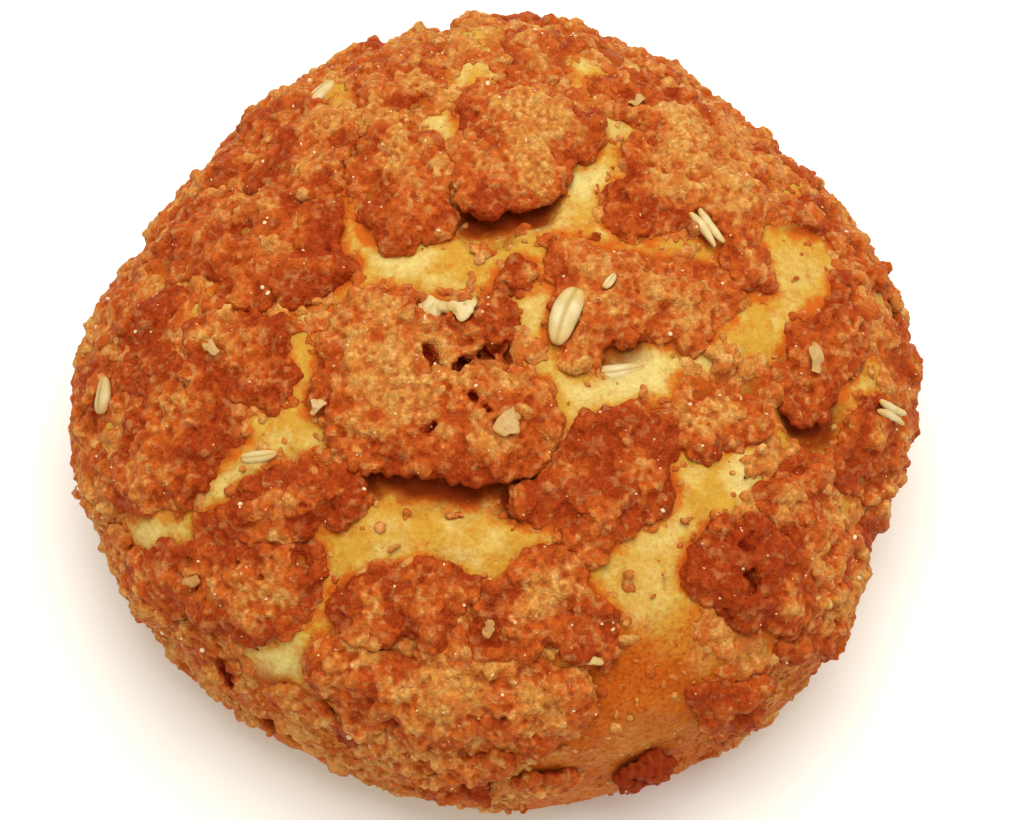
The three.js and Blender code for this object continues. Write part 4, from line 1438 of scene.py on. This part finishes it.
@dataclass
class OatTopping:
    """The oat grains on the bun, whole, split or broken to flakes.

    The pairs in dents are the width of a dent and its share of the roughness.
    """

    grains: tuple[OatGrain, ...] = GRAINS
    rings: int = 22
    sides: int = 20
    bluntness: float = 0.7
    taper: float = 0.14
    flatness: float = 0.62
    whole_rough: float = 0.05
    flake_flatness: float = 0.3
    flake_rough: float = 0.5
    half_width: float = 0.56
    half_flatness: float = 0.9
    half_offset: float = 0.25
    dents: tuple[tuple[float, float], ...] = ((1.0, 1.0), (0.45, 0.35))
    raised: float = 0.45
    bend: float = 0.04
    crease_depth: float = 0.07
    crease_width: float = 0.08
    seed: int = 7

    def kernel(
        self,
        length: float,
        width: float,
        flatness: float,
        crease: float,
    ) -> tuple[Surface, np.ndarray, np.ndarray]:
        """Makes one kernel along X with its crease up.

        Args:
            length: Its length.
            width: Its width.
            flatness: Its height as a share of its width.
            crease: Depth of the crease as a share of its height.

        Returns:
            The kernel, and for each point how near the crease and how near a tip it is.
        """
        along = np.linspace(0, math.pi, self.rings + 2)[1:-1]
        around = np.arange(self.sides) * 2 * math.pi / self.sides
        girth = np.sin(along) ** self.bluntness * (1 + self.taper * np.cos(along))
        x = np.repeat(-np.cos(along) * length / 2, self.sides)
        y = (girth[:, None] * np.cos(around)).ravel() * width / 2
        z = (girth[:, None] * np.sin(around)).ravel() * width * flatness / 2
        crease_share = np.exp(-(y / (self.crease_width * width)) ** 2) * (z > 0)
        z = z * (1 - 2 * crease * crease_share)
        y = y + self.bend * length * (2 * x / length) ** 2
        ends = np.array([[-length / 2, self.bend * length, 0], [length / 2, self.bend * length, 0]])
        points = np.concatenate([np.stack([x, y, z], axis=1), ends])
        ring, side = np.meshgrid(np.arange(self.rings - 1), np.arange(self.sides), indexing="ij")
        a = (ring * self.sides + side).ravel()
        b = (ring * self.sides + (side + 1) % self.sides).ravel()
        c, d = a + self.sides, b + self.sides
        first = np.arange(self.sides)
        turned = (first + 1) % self.sides
        last = (self.rings - 1) * self.sides
        tail, nose = len(points) - 2, len(points) - 1
        faces = np.concatenate([
            np.stack([a, b, c], axis=1),
            np.stack([b, d, c], axis=1),
            np.stack([np.full_like(first, tail), turned, first], axis=1),
            np.stack([np.full_like(first, nose), last + first, last + turned], axis=1),
        ])
        tip = np.append(np.abs(2 * x / length), [1, 1])
        return Surface(points, faces), np.append(crease_share * (crease > 0), [0, 0]), tip

    def forms(self, grain: OatGrain) -> list[tuple[Surface, np.ndarray, np.ndarray]]:
        """Makes the kernels that one grain is made of, lying at the origin.

        Args:
            grain: The grain.

        Returns:
            Each kernel with its crease and tip masks.
        """
        if grain.form is OatForm.WHOLE:
            return [self.kernel(grain.length, grain.width, self.flatness, self.crease_depth)]
        if grain.form is OatForm.FLAKE:
            return [self.kernel(grain.length, grain.width, self.flake_flatness, 0.0)]
        halves = []
        for side in (-1, 1):
            width = self.half_width * grain.width
            half, crease, tip = self.kernel(grain.length, width, self.half_flatness, 0.0)
            half.points[:, 1] = side * (half.points[:, 1] + self.half_offset * grain.width)
            half.faces = half.faces[:, ::side]
            halves.append((half, crease, tip))
        return halves

    def build(self, dough: DoughBun, finish: OatHusk) -> bpy.types.Object:
        """Builds and dresses all grains.

        Args:
            dough: The dough below.
            finish: What they are dressed in.

        Returns:
            The piece.
        """
        surfaces, creases, tips, toasts = [], [], [], []
        for number, grain in enumerate(self.grains):
            bed = dough.top if grain.on == dough.node else Surface.of_node(grain.on).tree()
            hit, outward = dough.laid(grain.x, grain.y, bed)
            turn = math.radians(grain.turn)
            ahead = np.array([math.cos(turn), math.sin(turn), 0])
            ahead = unit(ahead - outward * (ahead @ outward))
            frame_axes = np.stack([ahead, np.cross(outward, ahead), outward])
            middle = hit - outward * (0.5 * self.flatness * grain.width - self.raised)
            for kernel, crease, tip in self.forms(grain):
                rough = self.flake_rough if grain.form is OatForm.FLAKE else self.whole_rough
                shape = kernel.points.copy()
                for size, share in self.dents:
                    kernel.points += rough * share * np.stack([
                        value_noise(shape, size, self.seed + 10 * number + axis) for axis in range(3)
                    ], axis=1)
                kernel.points = kernel.points @ frame_axes + middle
                surfaces.append(kernel)
                creases.append(crease)
                tips.append(tip)
                toasts.append(np.full(len(tip), grain.toast))
        masks = {
            "crease": np.concatenate(creases),
            "tip": np.concatenate(tips),
            "toast": np.concatenate(toasts),
        }
        piece = Surface.joined(surfaces).piece("oat_grains", finish.material(), masks)
        return piece


@dataclass
class LooseCrumbs:
    """Crumbs on the dough: heaps, a fringe of fine ones, stray ones, and a bed between close clumps.

    heaps lists the larger crumbs that the photograph shows, by place and radius, and bare the patches
    in plan where the dough lies open. A film of the finest crumbs lies where the dough is crusted.
    """

    heaps: tuple[tuple[float, float, float], ...] = (
        (26.3, -3.3, 1.9), (30.0, -14.4, 1.8), (28.7, -16.8, 0.9), (-4.6, -22.6, 0.9),
        (14.9, -29.4, 1.3), (18.8, -28.2, 0.7), (17.6, -30.9, 0.6), (14.1, -33.6, 0.9),
        (21.3, -22.6, 0.9), (-10.4, -22.1, 0.9), (-11.3, -25.8, 1.0), (-1.8, 9.3, 1.1),
        (3.3, 12.7, 1.2), (11.8, 11.6, 0.8), (41.4, -2.9, 0.8), (33.4, 21.5, 0.9),
    )
    heap_per_mm: float = 5.0
    heap_spread: float = 0.4
    heap_rise: float = 0.2
    heap_sizes: tuple[float, float] = (0.4, 0.65)
    fringe_reach: tuple[float, float] = (0.6, 2.6)
    fringe_per_mm2: float = 0.8
    fringe_radius: float = 0.36
    cluster_size: float = 3.0
    cluster_range: tuple[float, float] = (-0.3, 0.4)
    bare: tuple[Patch, ...] = patches(
        (-23.3, -5.3, 7.0, 1.0), (-22.5, -10.0, 6.0, 1.0), (-9.3, 7.5, 8.0, 1.0), (-16.0, 7.0, 6.0, 1.0),
        (-17.0, 14.2, 5.0, 1.0), (3.0, 5.0, 7.0, 1.0), (6.8, 13.8, 7.0, 1.0), (10.7, 20.1, 6.0, 1.0),
        (14.2, 26.4, 5.0, 1.0), (14.0, 11.0, 4.0, 1.0), (19.0, 9.0, 4.0, 1.0), (25.0, 6.0, 5.0, 1.0),
        (9.9, -7.0, 6.5, 1.0), (17.1, -6.1, 7.0, 1.0), (35.4, 9.9, 8.0, 1.0), (31.0, 3.0, 7.0, 1.0),
        (43.5, -6.0, 5.0, 1.0), (24.0, -16.0, 7.0, 1.0), (-11.5, -23.0, 7.0, 1.0),
        (-4.0, -23.6, 8.0, 1.0), (2.8, -25.0, 7.0, 1.0), (17.8, -23.3, 9.0, 1.0),
        (16.0, -33.0, 9.0, 1.0), (16.5, -43.0, 12.0, 1.0), (11.1, -48.2, 9.0, 1.0),
        (-18.8, -27.2, 5.0, 1.0), (-21.9, -34.5, 5.0, 1.0), (-25.0, -37.0, 5.0, 1.0),
        (-40.3, -21.9, 6.0, 1.0), (-30.9, -17.9, 5.0, 1.0), (-7.1, 27.5, 3.0, 1.0),
        (-2.9, 35.4, 3.0, 1.0), (11.8, 36.5, 3.0, 1.0), (-21.5, 34.8, 3.5, 1.0),
    )
    bed_per_mm2: float = 1.3
    bed_radius: float = 0.5
    bed_reach: tuple[float, float] = (7.0, 12.0)
    bed_heights: tuple[float, float] = (3.0, 8.0)
    bed_rag: float = 5.0
    bed_rag_size: float = 6.0
    bare_rag: float = 0.25
    bare_range: tuple[float, float] = (0.1, 0.4)
    cave_range: tuple[float, float] = (0.2, 0.7)
    hole_depth: float = 0.2
    stray_reach: tuple[float, float] = (2.0, 6.0)
    stray_per_mm2: float = 0.08
    stray_radius: float = 0.28
    film_per_mm2: float = 0.9
    film_radius: float = 0.24
    lowest: float = 1.5
    size_spread: float = 0.4
    scales: tuple[float, float] = (0.55, 1.45)
    sunk: float = 0.15
    voxel: float = 0.25
    kept: float = 0.25
    toast: float = 0.28
    cloud_size: float = 3.0
    cloud_toast: float = 0.4
    seed: int = 41

    def densities(self, dough: DoughBun) -> tuple[np.ndarray, np.ndarray, np.ndarray, np.ndarray]:
        """Works out how thick the crumbs lie at each point of the dough.

        Args:
            dough: The dough that they lie on.

        Returns:
            How many crumbs of the fringe, stray ones, crumbs of the bed and of the film lie on a
            square millimetre.
        """
        ground = dough.skin.points
        clusters = smoothstep(value_noise(ground, self.cluster_size, self.seed), *self.cluster_range)
        fringe = self.fringe_per_mm2 * clusters * (1 - smoothstep(dough.reach, *self.fringe_reach))
        stray = self.stray_per_mm2 * (1 - smoothstep(dough.reach, *self.stray_reach))
        frayed = self.bare_rag * value_noise(ground, self.bed_rag_size, self.seed + 2)
        bed = self.bed_per_mm2 * (1 - smoothstep(shown(self.bare, ground) + frayed, *self.bare_range))
        bed *= 1 - smoothstep(dough.reach, *self.bed_reach)
        ragged = self.bed_rag * value_noise(ground, self.bed_rag_size, self.seed + 1)
        bed *= smoothstep(ground[:, 2] + ragged, *self.bed_heights)
        bed *= 1 - smoothstep(shown(CAVES, ground), *self.cave_range)
        bed[dough.hollowed(ground) > self.hole_depth] = 0
        film = self.film_per_mm2 * shown(dough.crust_patches, ground)
        return fringe, stray, bed, film

    def build(self, dough: DoughBun, finish: BakedStreusel) -> bpy.types.Object:
        """Scatters and dresses the crumbs.

        Args:
            dough: The dough that they lie on.
            finish: What they are dressed in.

        Returns:
            The piece.
        """
        rng = np.random.default_rng(self.seed)
        ground, normals = dough.skin.points, dough.skin.normals()
        fringe, stray, bed, film = self.densities(dough)
        draw = rng.random(len(normals)) / dough.skin.areas()
        wanted = fringe + stray + bed + film
        chosen = np.flatnonzero((draw < wanted) & (ground[:, 2] > self.lowest))
        chosen = chosen[~dough.covered[chosen]]
        sizes = np.where(draw[chosen] < stray[chosen], self.stray_radius, self.fringe_radius)
        sizes[film[chosen] > fringe[chosen]] = self.film_radius
        sizes[bed[chosen] > fringe[chosen]] = self.bed_radius
        sizes *= np.exp(self.size_spread * rng.normal(size=len(chosen)))
        places = ground[chosen] - normals[chosen] * (self.sunk * sizes)[:, None]
        for x, y, radius in self.heaps:
            hit, outward = dough.laid(x, y, dough.top)
            count = max(1, round(self.heap_per_mm * radius))
            around = hit + rng.normal(size=(count, 3)) * radius * self.heap_spread
            places = np.concatenate([places, around + outward * self.heap_rise * radius])
            sizes = np.concatenate([sizes, radius * rng.uniform(*self.heap_sizes, count)])
        shape = Surface.lump()
        scales = sizes[:, None] * rng.uniform(*self.scales, (len(places), 3))
        skin = shape.scattered(places, scales, random_turns(rng, len(places)))
        skin = skin.fused(self.voxel).thinned(self.kept)
        middles = Surface.of_points(places)
        toast = self.toast + self.cloud_toast * value_noise(skin.points, self.cloud_size, self.seed)
        masks = {
            # The spots under the crown's front edge add painted shade.
            "toast": np.clip(toast + shown(BROWNED_AND_SHADED_SPOTS, skin.points), 0, 1),
            "tint": rng.random(len(places))[middles.nearest(skin.points)],
            "shade_and_char": np.zeros(len(skin.points)),
        }
        piece = skin.piece("loose_crumbs", finish.material(), masks)
        return piece


@dataclass
class SugarTopping:
    """Sugar crystals on the tops of the clumps.

    They are about 0.1 mm in radius and lie only where a clump faces upward by more than facing.
    """

    per_mm2: float = 0.05
    facing: float = 0.3
    radius: float = 0.12
    size_spread: float = 0.45
    scales: tuple[float, float] = (0.5, 1.5)
    proud: float = 0.03
    seed: int = 23

    def build(self, clumps: list[StreuselClump], finish: SugarCrystal) -> bpy.types.Object:
        """Scatters and dresses the crystals.

        Args:
            clumps: The clumps that they lie on.
            finish: What they are dressed in.

        Returns:
            The piece.
        """
        rng = np.random.default_rng(self.seed)
        shape = Surface.lump()
        places = []
        for clump in clumps:
            share = self.per_mm2 * clump.skin.areas()
            chosen = (clump.upward > self.facing) & (rng.random(len(clump.upward)) < share)
            places.append(clump.skin.points[chosen] + self.proud * clump.skin.normals()[chosen])
        places = np.concatenate(places)
        sizes = self.radius * np.exp(self.size_spread * rng.normal(size=(len(places), 1)))
        scales = sizes * rng.uniform(*self.scales, (len(places), 3))
        crystals = shape.scattered(places, scales, random_turns(rng, len(places)))
        masks = {"tint": np.repeat(rng.random(len(places)), len(shape.points))}
        piece = crystals.piece("sugar_crystals", finish.material(), masks)
        piece.data.shade_flat()
        return piece


@dataclass
class Studio:
    """A pale floor, soft light from the back and the camera."""

    target: tuple[float, float, float] = (1.80, -0.79, 14.0)
    elevation: float = 68.0
    distance: float = 320.0
    focal_px: float = 2528.0
    frame_px: float = 1024.0
    sensor: float = 36.0
    nearest: float = 10.0
    floor_size: float = 3000.0
    key_place: tuple[float, float, float] = (60.0, 180.0, 740.0)
    key_size: float = 600.0
    key_watts: float = 4.6
    key_colour: str = "#fffdf8"
    sky_colour: str = "#fffdf8"
    sky_strength: float = 0.72

    def build(self) -> None:
        """Builds the floor, the light and the camera."""
        scene = bpy.context.scene
        floor = Surface.of_shape("grid", x_segments=2, y_segments=2, size=self.floor_size / 2)
        mesh = bpy.data.meshes.new("floor")
        mesh.from_pydata((floor.points * MM).tolist(), [], floor.faces.tolist())
        mesh.materials.append(PaleFloor().material())
        ground = bpy.data.objects.new("floor", mesh)
        scene.collection.objects.link(ground)

        world = bpy.data.worlds.new("studio")
        world.use_nodes = True
        background = world.node_tree.nodes["Background"]
        background.inputs["Color"].default_value = linear(self.sky_colour)
        background.inputs["Strength"].default_value = self.sky_strength
        scene.world = world

        lamp = bpy.data.lights.new("key", "AREA")
        lamp.size = self.key_size * MM
        lamp.energy = self.key_watts
        lamp.color = linear(self.key_colour)[:3]
        key = bpy.data.objects.new("key", lamp)
        scene.collection.objects.link(key)
        self.aim(key, Vector(self.key_place) * MM)

        lens = bpy.data.cameras.new("camera")
        lens.sensor_width = self.sensor
        lens.lens = self.sensor * self.focal_px / self.frame_px
        lens.clip_start = self.nearest * MM
        camera = bpy.data.objects.new("camera", lens)
        scene.collection.objects.link(camera)
        tilt = math.radians(self.elevation)
        back = Vector((0, -math.cos(tilt), math.sin(tilt)))
        self.aim(camera, (Vector(self.target) + back * self.distance) * MM)
        scene.camera = camera
        scene.view_settings.view_transform = "Standard"

    def aim(self, obj: bpy.types.Object, place: Vector) -> None:
        """Puts a lamp or camera in place and points it at the bun.

        Args:
            obj: What to place.
            place: Where it goes, in metres.
        """
        obj.location = place
        obj.rotation_euler = (Vector(self.target) * MM - place).to_track_quat("-Z", "Y").to_euler()


def tone_of(node: str) -> Tone:
    """Finds how far a clump has browned.

    Args:
        node: The clump's node.

    Returns:
        Its tone: pale for the clumps round the rim, and brown where none is stated.
    """
    short = node.removeprefix("streusel_")
    if short.startswith("rim_"):
        return Tone.PALE
    return next((tone for tone, names in TONES.items() if short in names), Tone.BROWN)


def main() -> None:
    """Builds the bun and its studio in order and reports each piece."""
    logging.basicConfig(level=logging.INFO, format="%(message)s")
    Studio().build()
    names = sorted(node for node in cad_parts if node.startswith("streusel_"))
    solids = {node: Surface.of_node(node) for node in names}
    cover = Surface.joined(list(solids.values())).tree()
    dough = DoughBun()
    pieces = [dough.build(cover, BakedDough())]
    clumps = [
        StreuselClump(node, seed, tone_of(node), **LONERS.get(node, {})) for seed, node in enumerate(names)
    ]
    for clump in clumps:
        apart = {clump.node, *LONERS}
        others = Surface.joined([solid for node, solid in solids.items() if node not in apart])
        pieces.append(clump.build(dough, others.tree(), BakedStreusel()))
    pieces.append(LooseCrumbs().build(dough, BakedStreusel()))
    pieces.append(OatTopping().build(dough, OatHusk()))
    pieces.append(SugarTopping().build(clumps, SugarCrystal()))
    for piece in pieces:
        piece.data.calc_loop_triangles()
        LOG.info("%s: %d triangles", piece.name, len(piece.data.loop_triangles))
    LOG.info("all: %d triangles", sum(len(piece.data.loop_triangles) for piece in pieces))


if __name__ == "__main__":
    main()
